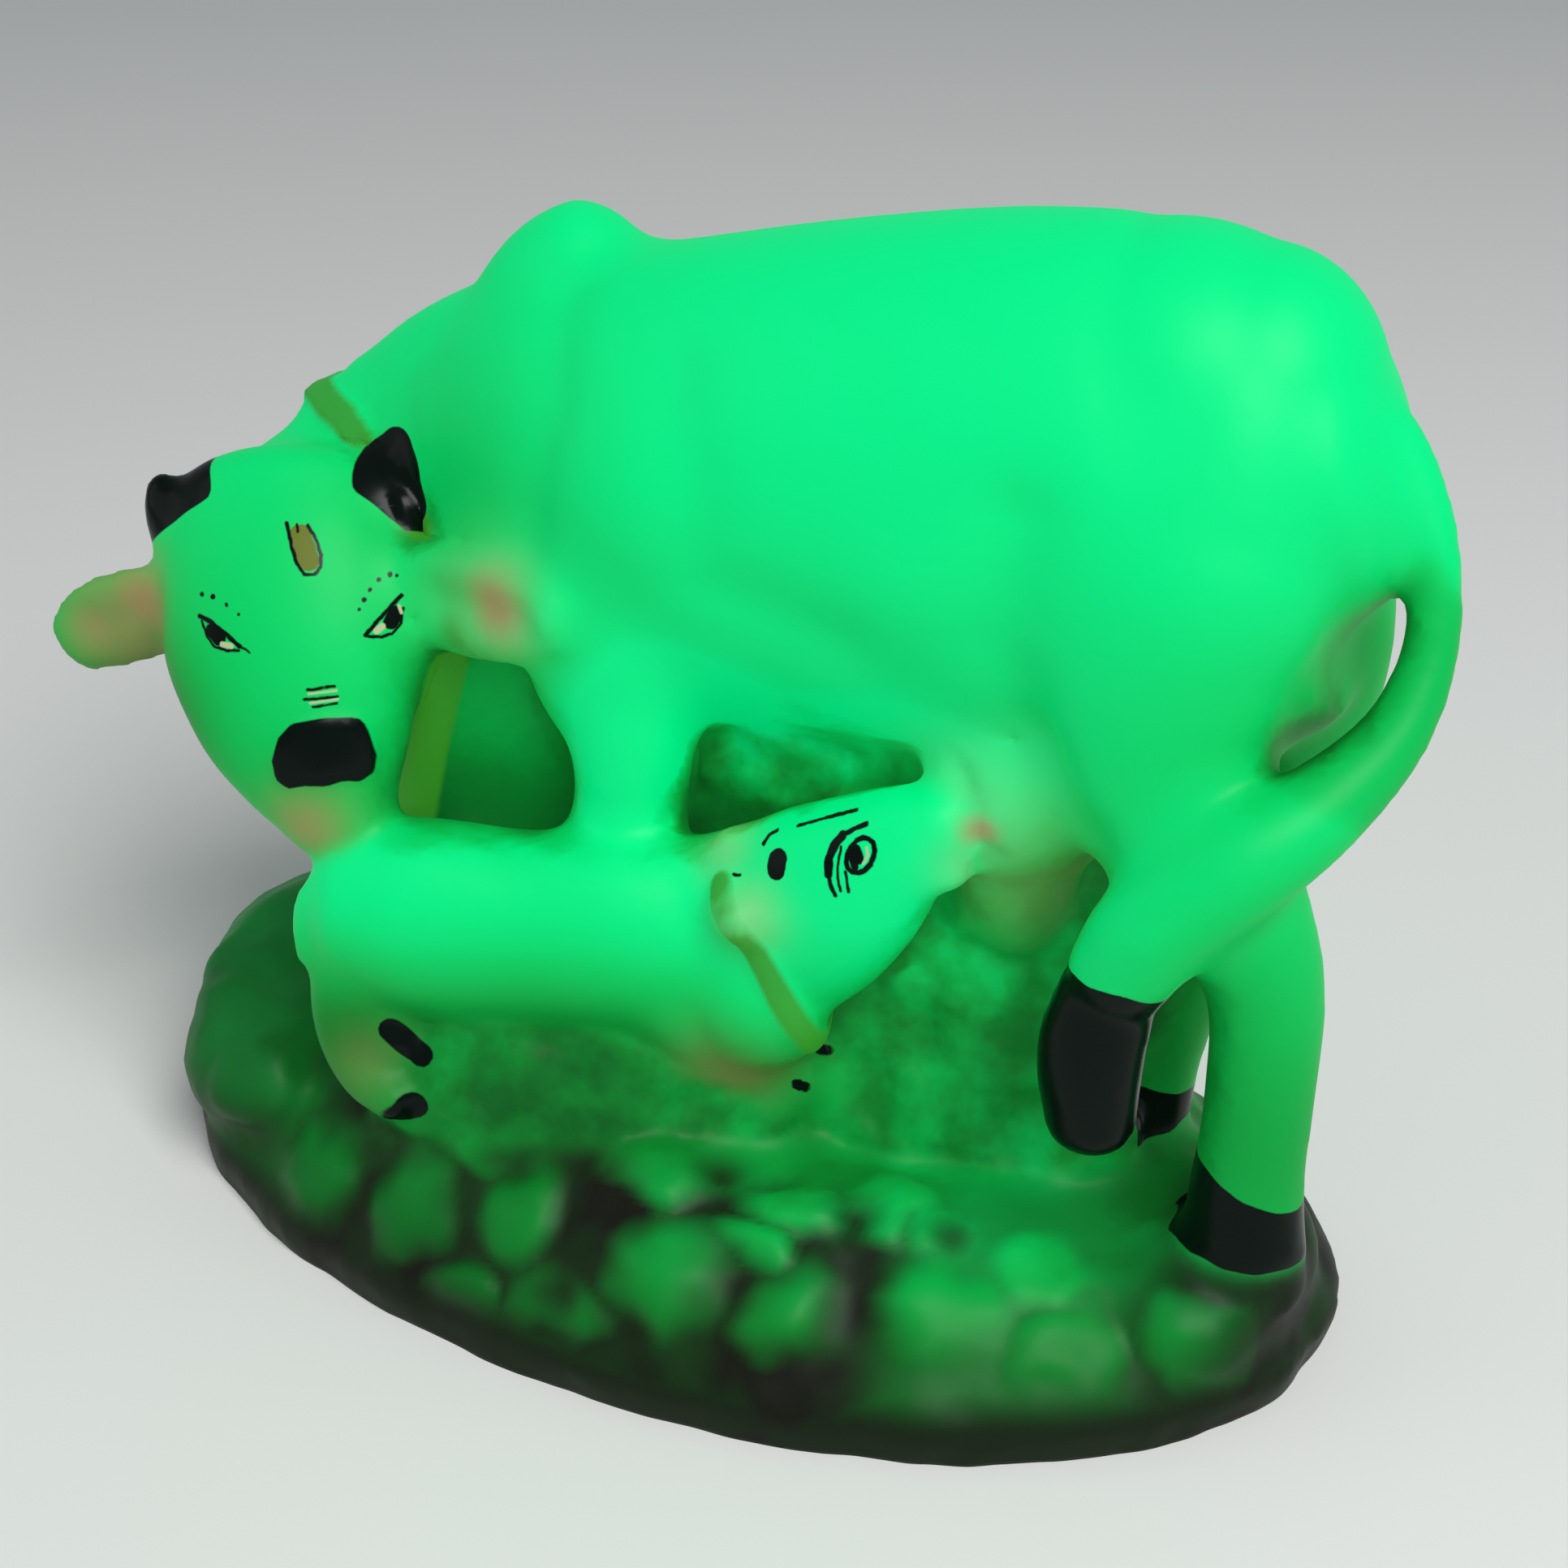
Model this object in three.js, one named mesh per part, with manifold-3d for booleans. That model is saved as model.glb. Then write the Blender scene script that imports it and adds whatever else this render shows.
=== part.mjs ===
// Cow and calf figurine: a night-glow polyresin ornament, cast in one piece on a rocky oval base.
// Millimetres, +Z up. The cow's body runs along X with its head towards -X and its left side towards -Y,
// where the calf stands. The origin is the centre of the flat underside.
import * as THREE from "three";
import { mergeVertices } from "three/addons/utils/BufferGeometryUtils.js";
import Module from "manifold-3d";

const wasm = await Module();
wasm.setup();

// Driving dimensions of the casting
const BASE_LENGTH = 104;
const BASE_WIDTH = 59;
const GROUND = 13; // top of the base where the cow stands
const LEDGE = 16.5; // top of the base where the calf stands
const ROCK = 20; // top of the boulder at the head end

const vec = (p) => new THREE.Vector3(...p);

// A geometry as a manifold solid, with its shared vertices merged.
function solid(geometry) {
  const bare = geometry.clone();
  for (const name of ["normal", "uv"]) bare.deleteAttribute(name);
  const merged = mergeVertices(bare, 1e-4);
  return new wasm.Manifold(
    new wasm.Mesh({
      numProp: 3,
      vertProperties: merged.attributes.position.array,
      triVerts: new Uint32Array(merged.index.array),
    }),
  );
}

// Moves every vertex of a geometry by a function of its place.
function reshape(geometry, move) {
  const place = geometry.attributes.position;
  const point = new THREE.Vector3();
  for (let i = 0; i < place.count; i += 1) {
    point.fromBufferAttribute(place, i);
    move(point);
    place.setXYZ(i, point.x, point.y, point.z);
  }
  return geometry;
}

// A limb: a capsule bent along a curve through the stations. A station is [x, y, z, wide, deep]:
// wide is its half-size along `side` and deep its half-size square to that. The ends are domes,
// `dome` times as long as they are wide.
function limb(stations, { side = [0, 1, 0], sides = 12, rings = 2, dome = 0.8, caps = 2 } = {}) {
  const spans = stations.length - 1;
  const path = new THREE.CatmullRomCurve3(stations.map((s) => vec(s)));
  const girth = new THREE.CatmullRomCurve3(stations.map((s) => new THREE.Vector3(s[3], s[4], 0)));
  const capsule = new THREE.CapsuleGeometry(1, 2, caps, sides, spans * rings);
  const across = vec(side).normalize();
  return solid(
    reshape(capsule, (p) => {
      const t = THREE.MathUtils.clamp((p.y + 1) / 2, 0, 1);
      const beyond = p.y - THREE.MathUtils.clamp(p.y, -1, 1);
      const size = girth.getPoint(t);
      const along = path.getTangent(t);
      const wide = across.clone().addScaledVector(along, -across.dot(along)).normalize();
      const deep = new THREE.Vector3().crossVectors(along, wide);
      const swell = dome * Math.min(size.x, size.y);
      const { x, z } = p;
      p.copy(path.getPoint(t));
      p.addScaledVector(along, beyond * swell);
      p.addScaledVector(wide, z * size.x);
      p.addScaledVector(deep, x * size.y);
    }),
  );
}

// A rounded lump: a ball with half-sizes along its own axes, turned by Euler angles in degrees.
function lump(at, half, turn = [0, 0, 0], sides = 14, rings = 10) {
  const ball = new THREE.SphereGeometry(1, sides, rings).rotateX(Math.PI / 2);
  ball.scale(...half);
  const angles = new THREE.Euler(...turn.map(THREE.MathUtils.degToRad));
  ball.applyQuaternion(new THREE.Quaternion().setFromEuler(angles));
  return solid(ball.translate(...at));
}

const join = (parts) => parts.reduce((whole, part) => whole.add(part));

// A hoop: a ring of oval section that follows a closed curve through the points.
function hoop(points, wide, deep, { sides = 6, segments = 24 } = {}) {
  const path = new THREE.CatmullRomCurve3(points.map(vec), true);
  const middle = points.map(vec).reduce((sum, p) => sum.add(p)).divideScalar(points.length);
  return solid(
    reshape(new THREE.TorusGeometry(1, 0.25, sides, segments), (p) => {
      const t = (Math.atan2(p.y, p.x) / (2 * Math.PI) + 1) % 1;
      const out = (Math.hypot(p.x, p.y) - 1) / 0.25;
      const lift = p.z / 0.25;
      const centre = path.getPoint(t);
      const along = path.getTangent(t);
      const outward = centre.clone().sub(middle);
      outward.addScaledVector(along, -outward.dot(along)).normalize();
      const over = new THREE.Vector3().crossVectors(outward, along);
      p.copy(centre).addScaledVector(outward, out * deep).addScaledVector(over, lift * wide);
    }),
  );
}

function cowBody() {
  const trunk = limb(
    [
      [-20, 0, 61, 8, 13.5],
      [-11, 0, 63.6, 12, 17],
      [0, 0, 65, 13.8, 18.4],
      [12, 0, 66.4, 14.6, 19.6],
      [24, 0, 67.9, 14.4, 20.1],
      [34, 0, 69.4, 13.4, 19.8],
      [41, 0, 71.6, 11.6, 16],
      [45.5, 0, 72.6, 8.8, 11.2],
    ],
    { sides: 20, rings: 2, dome: 0.5, caps: 3 },
  );
  const hump = limb(
    [
      [-16.4, 1, 70, 6, 8],
      [-13.2, 1, 76, 5.6, 7.4],
      [-10.2, 1, 78.2, 5.4, 7.4],
    ],
    { sides: 12, rings: 1, dome: 0.8 },
  );
  const neck = limb(
    [
      [-10, 0, 63.4, 10, 17.6],
      [-19, 1.4, 61.2, 8.2, 15.4],
      [-26.5, 2, 58.4, 6.8, 13.2],
      [-32.5, 1, 56.2, 6, 11],
      [-36.5, -1.6, 56, 5.8, 8.6],
    ],
    { sides: 12, rings: 2, dome: 0.5 },
  );
  const shoulders = [-1, 1].map((s) => lump([-6, 6.6 * s, 57.5], [8.5, 7, 15], [0, 0, 0], 10, 8));
  const brisket = limb(
    [
      [-21.5, 0, 52, 7, 9],
      [-20.5, 0, 42, 6.2, 9.5],
      [-19, 0.5, 30, 5.4, 9.5],
      [-18, 0.5, GROUND, 5.6, 10.5],
    ],
    { sides: 12, rings: 2 },
  );
  // The crown of the rump, the front of the dewlap and the teats are lumps that the long forms run into.
  const rump = lump([38.6, 0, 76.6], [8.4, 9, 10], [0, 0, 0], 12, 8);
  const dewlap = lump([-25.6, -0.6, 40], [3.6, 6, 9], [0, 0, 0], 8, 6);
  const udder = lump([22, -3.4, 47.5], [9, 8, 8.5], [0, 0, 0], 10, 8);
  const teats = lump([23.6, -3.6, 38.5], [4.6, 4, 8], [0, 0, 0], 8, 6);
  return [trunk, hump, rump, neck, ...shoulders, brisket, dewlap, udder, teats];
}

// A leg is drawn for the near side; the far one steps forward by `step`, little by little towards the hoof.
function leg(stations, side, step, options) {
  const top = stations[0][2];
  const placed = stations.map(([x, y, z, wide, deep]) => {
    const share = (top - z) / (top - GROUND);
    return [side > 0 ? x - step * share : x, side * y, z, wide, deep];
  });
  return limb(placed, options);
}

function cowLegs() {
  const fore = [
    [-7, 7.4, 60, 5.6, 7],
    [-4.8, 7.8, 47, 4.8, 4.9],
    [-5.8, 7.2, 36, 4.1, 4.1],
    [-6, 7, 26, 3.6, 3.6],
    [-6.5, 7, 18, 3.8, 3.8],
    [-7.5, 7, GROUND - 2, 4.4, 4.6],
  ];
  const hind = [
    [34.6, 4.6, 75, 6, 9],
    [35, 6.4, 67, 7.4, 11.6],
    [35, 7.4, 59.6, 7.4, 10.4],
    [36.6, 8, 51.6, 6.2, 8],
    [41.8, 8, 43.5, 5, 5.6],
    [45, 7.4, 36, 4, 4.3],
    [45.3, 7, 26, 3.7, 4],
    [45.1, 7, 18, 3.9, 4.3],
    [45.4, 7, GROUND - 3, 4.8, 5.2],
  ];
  const options = { sides: 10, rings: 1 };
  const farThigh = lump([41.4, 6.6, 60], [7.2, 6.6, 13], [0, 0, 0], 8, 8);
  return [
    farThigh,
    leg(fore, -1, 0, options),
    leg(fore, 1, 10, options),
    leg(hind, -1, 0, options),
    leg(hind, 1, 13, options),
  ];
}

function cowTail() {
  const tail = limb(
    [
      [41, 0, 78, 4, 3],
      [46.9, -0.5, 75.6, 3, 2.7],
      [50.4, -1.3, 71.4, 2.3, 2.4],
      [52.1, -2.2, 66.4, 2.2, 2.3],
      [52.5, -3.5, 61.4, 2.3, 2.3],
      [51.2, -6.4, 56.4, 2.6, 2.7],
      [47.4, -10.4, 51.9, 3.4, 3.5],
      [43.2, -13, 48.6, 4.1, 4.3],
      [38.6, -14, 43.6, 4.1, 4.3],
      [36, -13.8, 38.6, 3.4, 3.9],
    ],
    { sides: 10, rings: 1 },
  );
  const tuft = limb(
    [
      [35.2, -13.4, 36.6, 3, 3.6],
      [34.2, -13.2, 31, 3.2, 4],
      [34.4, -12.8, 25, 3, 3.4],
    ],
    { sides: 10, rings: 1 },
  );
  return [tail, tuft];
}

// The head hangs to the near side and looks at the viewer. In head space X is the viewer's right,
// -Y points out of the face and -Z down towards the muzzle.
const FACE_TURN = 18;
const FACE_TIP = 24;
const FACE_ROLL = 8;
const POLL = [-33.8, -8.7, 61.4];

function headPlace() {
  const turn = new THREE.Matrix4().makeRotationZ(THREE.MathUtils.degToRad(FACE_TURN));
  const tip = new THREE.Matrix4().makeRotationX(THREE.MathUtils.degToRad(-FACE_TIP));
  const roll = new THREE.Matrix4().makeRotationY(THREE.MathUtils.degToRad(-FACE_ROLL));
  const move = new THREE.Matrix4().makeTranslation(...POLL);
  return move.multiply(turn).multiply(tip).multiply(roll);
}

function cowHead() {
  const place = headPlace();
  const on = (x, y, z) => new THREE.Vector3(x, y, z).applyMatrix4(place).toArray();
  const across = new THREE.Vector3(1, 0, 0).transformDirection(place).toArray();
  const skull = limb(
    [
      [...on(-0.2, 0.6, 0.6), 8.4, 5.2],
      [...on(-0.3, -0.4, -5), 10, 6.2],
      [...on(-0.3, -0.6, -10.8), 10.4, 6.6],
      [...on(0, -0.2, -16.6), 9.1, 6.2],
      [...on(0.8, 0, -21.4), 6.9, 5.4],
      [...on(1.6, 0.2, -25.2), 4.5, 4.4],
    ],
    { side: across, sides: 14, rings: 2, dome: 0.6, caps: 3 },
  );
  const poll = limb(
    [
      [...on(0.2, 0.6, -2.6), 8, 5.2],
      [-35.6, -3.2, 58.4, 7, 5.2],
      [-34, 0.4, 58.6, 6.4, 5.6],
    ],
    { side: across, sides: 10, rings: 1, dome: 0.5 },
  );
  const nose = limb(
    [
      [...on(-2, -4.2, -20.8), 1.8, 2.7],
      [...on(2.8, -4.2, -20.8), 1.8, 2.7],
    ],
    { side: new THREE.Vector3(0, 1, 0).transformDirection(place).toArray(), sides: 8, rings: 2, dome: 1 },
  );
  const horns = [-1, 1].map((s) =>
    limb(
      [
        [...on(7.4 * s, 0.4, -3), 3, 2.9],
        [...on(8.3 * s, -0.1, -1.2), 3, 2.7],
        [...on(9.2 * s, -0.5, 0.6), 2.1, 2],
        [...on(9.6 * s, -0.8, 2.2), 1.1, 1.1],
      ],
      { side: across, sides: 8, rings: 1 },
    ),
  );
  const nearEar = limb(
    [
      [-39.2, -13, 52.8, 3.4, 1.8],
      [-43.2, -14.6, 52.4, 3.6, 1.5],
      [-46.8, -15.8, 51.2, 3.4, 1.3],
      [-50.2, -16.4, 49.2, 2.4, 1],
    ],
    { side: [0.2, 0, 1], sides: 10, rings: 1, dome: 1 },
  );
  const farEar = limb(
    [
      [-23.4, -8.4, 55, 4, 2],
      [-18, -10.6, 55.8, 4.1, 1.8],
      [-12.6, -12.6, 56.8, 3.9, 1.6],
      [-7.8, -14, 57.6, 2.5, 1.2],
    ],
    { side: [-0.2, 0, 1], sides: 10, rings: 1, dome: 1 },
  );
  return [skull, poll, nose, ...horns, nearEar, farEar];
}

// The collar is a rope that hangs round the neck just behind the head, from the nape down both sides
// and across the front of the dewlap.
function cowCollar() {
  const nape = [-36.2, 1, 66.1];
  const nearSide = [
    [-31, -3.6, 61.9],
    [-25.8, -5, 56.6],
    [-22.8, -6, 48.6],
    [-23.6, -6.6, 41],
    [-25.2, -5.6, 34.6],
  ];
  const dewlap = [-29.4, 0.4, 31];
  const farSide = [
    [-25.2, 6, 34.6],
    [-23.6, 6.8, 41],
    [-22.8, 7.2, 48.6],
    [-25.8, 8.2, 56.6],
    [-31, 6.4, 61.9],
  ];
  return [hoop([nape, ...nearSide, dewlap, ...farSide], 1.9, 1.5)];
}

// The calf stands in front of the cow on the ledge, half sunk in the mound that carries it.
function calf() {
  const body = limb(
    [
      [-25.4, -17.8, 31.4, 5.2, 7],
      [-19.7, -16.3, 31.2, 6.2, 8.2],
      [-11, -13.9, 30.9, 6.2, 8],
      [-3.2, -11.6, 31.2, 6.4, 8.4],
      [3.6, -9.6, 31.4, 5.6, 7.6],
    ],
    { sides: 12, rings: 1, dome: 0.7, caps: 3 },
  );
  const head = limb(
    [
      [2.6, -9.7, 31.8, 5.2, 7.6],
      [8.3, -9.9, 34.1, 5.2, 8],
      [13.5, -10.2, 38.6, 5, 7],
      [18, -10.3, 43, 4, 4.8],
      [21.4, -10.1, 45.7, 2.9, 3],
    ],
    { sides: 12, rings: 2, dome: 0.8 },
  );
  const jaw = limb(
    [
      [17, -10.7, 40.2, 2.6, 2.2],
      [22.6, -10.7, 42.4, 2.1, 1.6],
    ],
    { sides: 8, rings: 2 },
  );
  const ears = [
    lump([4.4, -7, 39.4], [2.2, 1.6, 2.6], [0, 0, 0], 8, 6),
    lump([7.8, -14.4, 36.8], [2.8, 1.4, 2], [0, 0, 0], 8, 6),
  ];
  const chest = lump([7.4, -11.6, 27.6], [5.6, 4.6, 5.8], [0, 35, 0], 8, 6);
  const mound = lump([-6.4, -11.4, LEDGE - 1], [20, 7.4, 11], [0, 0, 21], 12, 8);
  const nearHind = limb(
    [
      [-25.4, -18.4, 28.2, 3.6, 4.2],
      [-26.8, -19.9, 22.4, 2.8, 3],
      [-24.6, -21.2, 18.6, 2.2, 2.2],
      [-20, -21.8, LEDGE + 0.6, 1.9, 2],
    ],
    { sides: 8, rings: 2 },
  );
  const farHind = limb(
    [
      [-23.8, -17.8, 25.2, 3, 3],
      [-20.6, -20, 21, 1.9, 1.7],
    ],
    { sides: 8, rings: 1 },
  );
  const nearFore = limb(
    [
      [-0.2, -13.6, 28.6, 3.2, 3.6],
      [3, -12.4, 23.6, 2.7, 3],
      [8.6, -9.4, LEDGE + 1.4, 1.6, 1.7],
    ],
    { sides: 8, rings: 1 },
  );
  const farFore = limb(
    [
      [4.6, -9.2, 28.1, 3.4, 3.4],
      [7.4, -8.8, 22.2, 2.9, 3],
      [11.6, -6.5, LEDGE, 1.8, 1.8],
    ],
    { sides: 8, rings: 1 },
  );
  return [body, head, jaw, ...ears, chest, mound, nearHind, farHind, nearFore, farFore];
}

// The rough mass between belly and ground, which holds the casting up behind the calf.
function support() {
  return [
    limb(
      [
        [12, 1, 47, 5.6, 20],
        [12, 1, 34, 6, 19.5],
        [12, 0.5, 22, 7, 21],
        [11, 0, 9, 9.5, 26],
      ],
      { sides: 16, rings: 1, dome: 0.3 },
    ),
  ];
}

// The height of the base's top over a point of the plan: the ledge of the calf and the boulder
// at the head end rise over the ground that the cow stands on.
function topOf(x, y) {
  const bump = (cx, cy, rx, ry) => Math.exp(-(((x - cx) / rx) ** 2) - ((y - cy) / ry) ** 2);
  return GROUND + (LEDGE - GROUND) * bump(-10, -14, 24, 10) + (ROCK - GROUND) * bump(-40, 4, 12, 14);
}

// The base is an oval with an upright rim and a sloping bank.
function mound() {
  const profile = [
    [0, 0],
    [0.965, 0],
    [1, 0.1],
    [1, 0.2],
    [0.965, 0.4],
    [0.9, 0.6],
    [0.82, 0.79],
    [0.72, 0.93],
    [0.58, 1],
    [0.3, 1],
    [0, 1],
  ];
  const body = new THREE.LatheGeometry(profile.map((p) => new THREE.Vector2(...p)), 40);
  return solid(
    reshape(body.rotateX(Math.PI / 2), (p) => {
      const x = (p.x * BASE_LENGTH) / 2;
      const y = (p.y * BASE_WIDTH * (1 + 0.05 * p.x)) / 2;
      p.set(x, y, p.z * topOf(x, y));
    }),
  );
}

// Flat rounded stones lie in rows on the bank, each row `count` to the whole turn, from stone `first`
// to stone `last`. Reach is the part of the oval's radius where it lies, and share the part of its
// height. A stone's half-sizes are along the rim, across it and out of the bank.
const STONE = [5.6, 4.6, 2.8];
const BANK_SLOPE = 50; // degrees, at the rim
const STONE_ROWS = [
  { count: 24, first: 13, last: 23, reach: 0.82, share: 0.66, slope: 0.8 },
  { count: 20, first: 0, last: 9, reach: 0.82, share: 0.66, slope: 0.8 },
  { count: 20, first: 12, last: 17, reach: 0.645, share: 0.87, slope: 0.3 },
];

function stones() {
  const made = [];
  for (const { count, first, last, reach, share, slope } of STONE_ROWS) {
    for (let i = first; i <= last; i += 1) {
      const angle = (2 * Math.PI * (i + 0.5)) / count;
      const grow = 1 + 0.1 * Math.sin(5 * i + 1);
      const x = (Math.cos(angle) * reach * BASE_LENGTH) / 2;
      const y = (Math.sin(angle) * reach * BASE_WIDTH) / 2;
      const facing = THREE.MathUtils.radToDeg(Math.atan2(y * BASE_LENGTH, x * BASE_WIDTH)) + 90;
      const half = STONE.map((v) => v * grow);
      const stone = lump([0, 0, 0], half, [slope * BANK_SLOPE, 0, 0], 6, 5);
      made.push(stone.rotate([0, 0, facing]).translate([x, y, share * topOf(x, y)]));
    }
  }
  const boulders = [
    lump([-38.2, -10, 9.5], [10, 9.5, 7.4], [0, 0, -25], 10, 6),
    lump([-42, 0.6, 11.4], [8.6, 11.4, 7.4], [0, 0, 10], 10, 6),
    lump([42, -3.4, 7.8], [8.2, 12, 6.4], [0, 0, 0], 10, 6),
  ];
  return [...made, ...boulders];
}

const parts = [
  ...cowBody(),
  ...cowLegs(),
  ...cowTail(),
  ...cowHead(),
  ...cowCollar(),
  ...calf(),
  ...support(),
  mound(),
  ...stones(),
];
const floorCut = solid(new THREE.BoxGeometry(300, 300, 40).translate(0, 0, -20));
const whole = join(parts).subtract(floorCut);

function toMesh(manifold, name, material) {
  const { numProp, vertProperties, triVerts } = manifold.getMesh();
  const geometry = new THREE.BufferGeometry();
  const places = new Float32Array((vertProperties.length / numProp) * 3);
  for (let i = 0; i < places.length / 3; i += 1) {
    places.set(vertProperties.subarray(i * numProp, i * numProp + 3), i * 3);
  }
  geometry.setAttribute("position", new THREE.BufferAttribute(places, 3));
  geometry.setIndex(new THREE.BufferAttribute(triVerts, 1));
  const mesh = new THREE.Mesh(geometry, material);
  mesh.name = name;
  return mesh;
}

const resin = new THREE.MeshStandardMaterial({ color: 0x3fe08a, roughness: 0.35, metalness: 0 });
const figurine = new THREE.Group();
figurine.add(toMesh(whole, "cow_and_calf_figurine", resin));

export default figurine;
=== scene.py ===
"""Cow and calf figurine: the looks of a night-glow resin ornament, painted by hand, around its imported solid.

Shapes are modelled in millimetres in the part's frame: +Z up, the cow's head towards -X, the calf at its
-Y side, and the origin in the middle of the flat underside. They are scaled to metres as the last step.
"""

import math
from functools import partial

import bmesh
import bpy
import numpy as np
from mathutils import Euler, Matrix, Vector, noise
from mathutils.bvhtree import BVHTree
from mathutils.kdtree import KDTree


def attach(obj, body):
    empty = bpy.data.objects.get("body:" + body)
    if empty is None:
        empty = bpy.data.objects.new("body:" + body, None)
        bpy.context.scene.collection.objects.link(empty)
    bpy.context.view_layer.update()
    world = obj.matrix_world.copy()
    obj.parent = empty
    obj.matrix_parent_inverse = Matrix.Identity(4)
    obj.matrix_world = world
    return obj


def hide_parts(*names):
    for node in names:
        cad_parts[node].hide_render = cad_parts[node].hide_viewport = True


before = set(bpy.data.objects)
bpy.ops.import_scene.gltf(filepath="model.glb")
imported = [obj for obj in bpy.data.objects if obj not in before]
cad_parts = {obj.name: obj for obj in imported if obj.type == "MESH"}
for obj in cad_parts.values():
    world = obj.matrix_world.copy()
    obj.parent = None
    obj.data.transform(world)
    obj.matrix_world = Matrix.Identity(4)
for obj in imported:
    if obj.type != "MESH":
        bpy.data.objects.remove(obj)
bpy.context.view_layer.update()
NODE = "cow_and_calf_figurine"
CASTING = "cow_and_calf_casting"

bl_info = {
    "name": "Cow and calf figurine",
    "version": (1, 0, 0),
    "blender": (4, 5, 0),
    "location": "3D View > Sidebar > Figurine",
    "description": "Models a night-glow resin cow and calf on a rocky base, with its paint",
    "category": "Object",
}

MM = 0.001

# Driving sizes of the casting, in millimetres. The length and width of the base are in FigurineSettings.
GROUND = 13  # top of the base where the cow stands
LEDGE = 16.5  # top of the base where the calf stands
ROCK = 20  # top of the boulder at the head end
FORE_STEP = 10  # how far the far fore leg stands in front of the near one
HIND_STEP = 13  # and the far hind leg in front of the near one


def linear(code):
    """An sRGB hex colour as the linear numbers that a shader takes."""
    shares = [int(code[i : i + 2], 16) / 255 for i in (1, 3, 5)]
    return tuple(s / 12.92 if s <= 0.04045 else ((s + 0.055) / 1.055) ** 2.4 for s in shares)


# Clay forms. Each is a closed shape; they overlap, and are made one skin afterwards.

DOME_RINGS = 0.14  # the share of a limb's rings that closes each end


def along_curve(stations, share):
    """The stations' values at each share, 0 to 1, of a smooth curve through them all, and its slope."""
    values = np.asarray(stations, float)
    values = np.vstack([2 * values[0] - values[1], values, 2 * values[-1] - values[-2]])
    place = np.clip(share, 0, 1) * (len(values) - 3)
    span = np.minimum(place.astype(int), len(values) - 4)
    f = (place - span)[:, None]
    a, b, c, d = (values[span + i] for i in range(4))
    bend, turn = 2 * a - 5 * b + 4 * c - d, 3 * b - a - 3 * c + d
    return b + 0.5 * f * (c - a + f * (bend + f * turn)), 0.5 * (c - a) + f * bend + 1.5 * f * f * turn


def unit(vectors):
    """The vectors at length 1."""
    return vectors / np.linalg.norm(vectors, axis=-1, keepdims=True)


def pour(shape, clay):
    """Adds a shape to the clay."""
    mesh = bpy.data.meshes.new("pour")
    shape.to_mesh(mesh)
    shape.free()
    clay.from_mesh(mesh)
    bpy.data.meshes.remove(mesh)


def limb(clay, stations, side=(0, 1, 0), dome=0.8, around=36, rings=56):
    """A ball drawn out along a curve. A station is x, y, z, the half-size along `side` and the half-size
    square to that. The ends are domes, `dome` times as long as they are wide."""
    shape = bmesh.new()
    bmesh.ops.create_uvsphere(shape, u_segments=around, v_segments=rings, radius=1)
    ball = np.array([v.co for v in shape.verts])
    share = np.arccos(np.clip(ball[:, 2], -1, 1)) / math.pi
    angle = np.arctan2(ball[:, 1], ball[:, 0])
    to_end = np.minimum(share, 1 - share) / DOME_RINGS
    closing = np.minimum(to_end, 1) * math.pi / 2
    values, slope = along_curve(stations, (share - DOME_RINGS) / (1 - 2 * DOME_RINGS))
    run = unit(slope[:, :3])
    wide = np.asarray(side, float) - run * (run @ np.asarray(side, float))[:, None]
    wide = unit(wide)
    deep = np.cross(wide, run)
    beyond = np.where(share < 0.5, -1, 1) * np.cos(closing) * dome * values[:, 3:].min(axis=1)
    place = values[:, :3] + run * beyond[:, None]
    place += wide * (np.cos(angle) * np.sin(closing) * values[:, 3])[:, None]
    place += deep * (np.sin(angle) * np.sin(closing) * values[:, 4])[:, None]
    for vert, co in zip(shape.verts, place):
        vert.co = co
    pour(shape, clay)


def lump(clay, at, half, turn=(0, 0, 0)):
    """A ball with half-sizes along its own axes, turned by Euler angles in degrees."""
    shape = bmesh.new()
    spin = Euler([math.radians(a) for a in turn]).to_matrix().to_4x4()
    place = Matrix.Translation(at) @ spin @ Matrix.Diagonal((*half, 1))
    bmesh.ops.create_uvsphere(shape, u_segments=28, v_segments=20, radius=1, matrix=place)
    pour(shape, clay)


def spun(section, steps):
    """Spins a shape's edges once round the Z axis."""
    whole = {"geom": section.edges[:], "axis": (0, 0, 1), "angle": 2 * math.pi}
    bmesh.ops.spin(section, steps=steps, use_merge=True, **whole)
    bmesh.ops.remove_doubles(section, verts=section.verts[:], dist=1e-5)


def hoop(clay, points, wide, deep):
    """A ring of oval section that follows a closed curve through the points."""
    tube = 0.25  # half as thick as the ring of radius 1 that is bent to the curve
    shape = bmesh.new()
    upright = Matrix.Translation((1, 0, 0)) @ Matrix.Rotation(math.pi / 2, 4, "X")
    bmesh.ops.create_circle(shape, segments=16, radius=tube, matrix=upright)
    spun(shape, 72)
    ring = np.array([v.co for v in shape.verts])
    share = (np.arctan2(ring[:, 1], ring[:, 0]) / (2 * math.pi)) % 1
    looped = [points[-1], *points, points[0], points[1]]
    spans = len(points)
    place, slope = along_curve(looped, (share * spans + 1) / (spans + 2))
    run = unit(slope)
    outward = place - np.mean(points, axis=0)
    outward = unit(outward - run * np.sum(outward * run, axis=1)[:, None])
    over = np.cross(outward, run)
    place = place + outward * ((np.hypot(ring[:, 0], ring[:, 1]) - 1) / tube * deep)[:, None]
    place += over * (ring[:, 2] / tube * wide)[:, None]
    for vert, co in zip(shape.verts, place):
        vert.co = co
    bmesh.ops.recalc_face_normals(shape, faces=shape.faces[:])
    pour(shape, clay)


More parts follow.
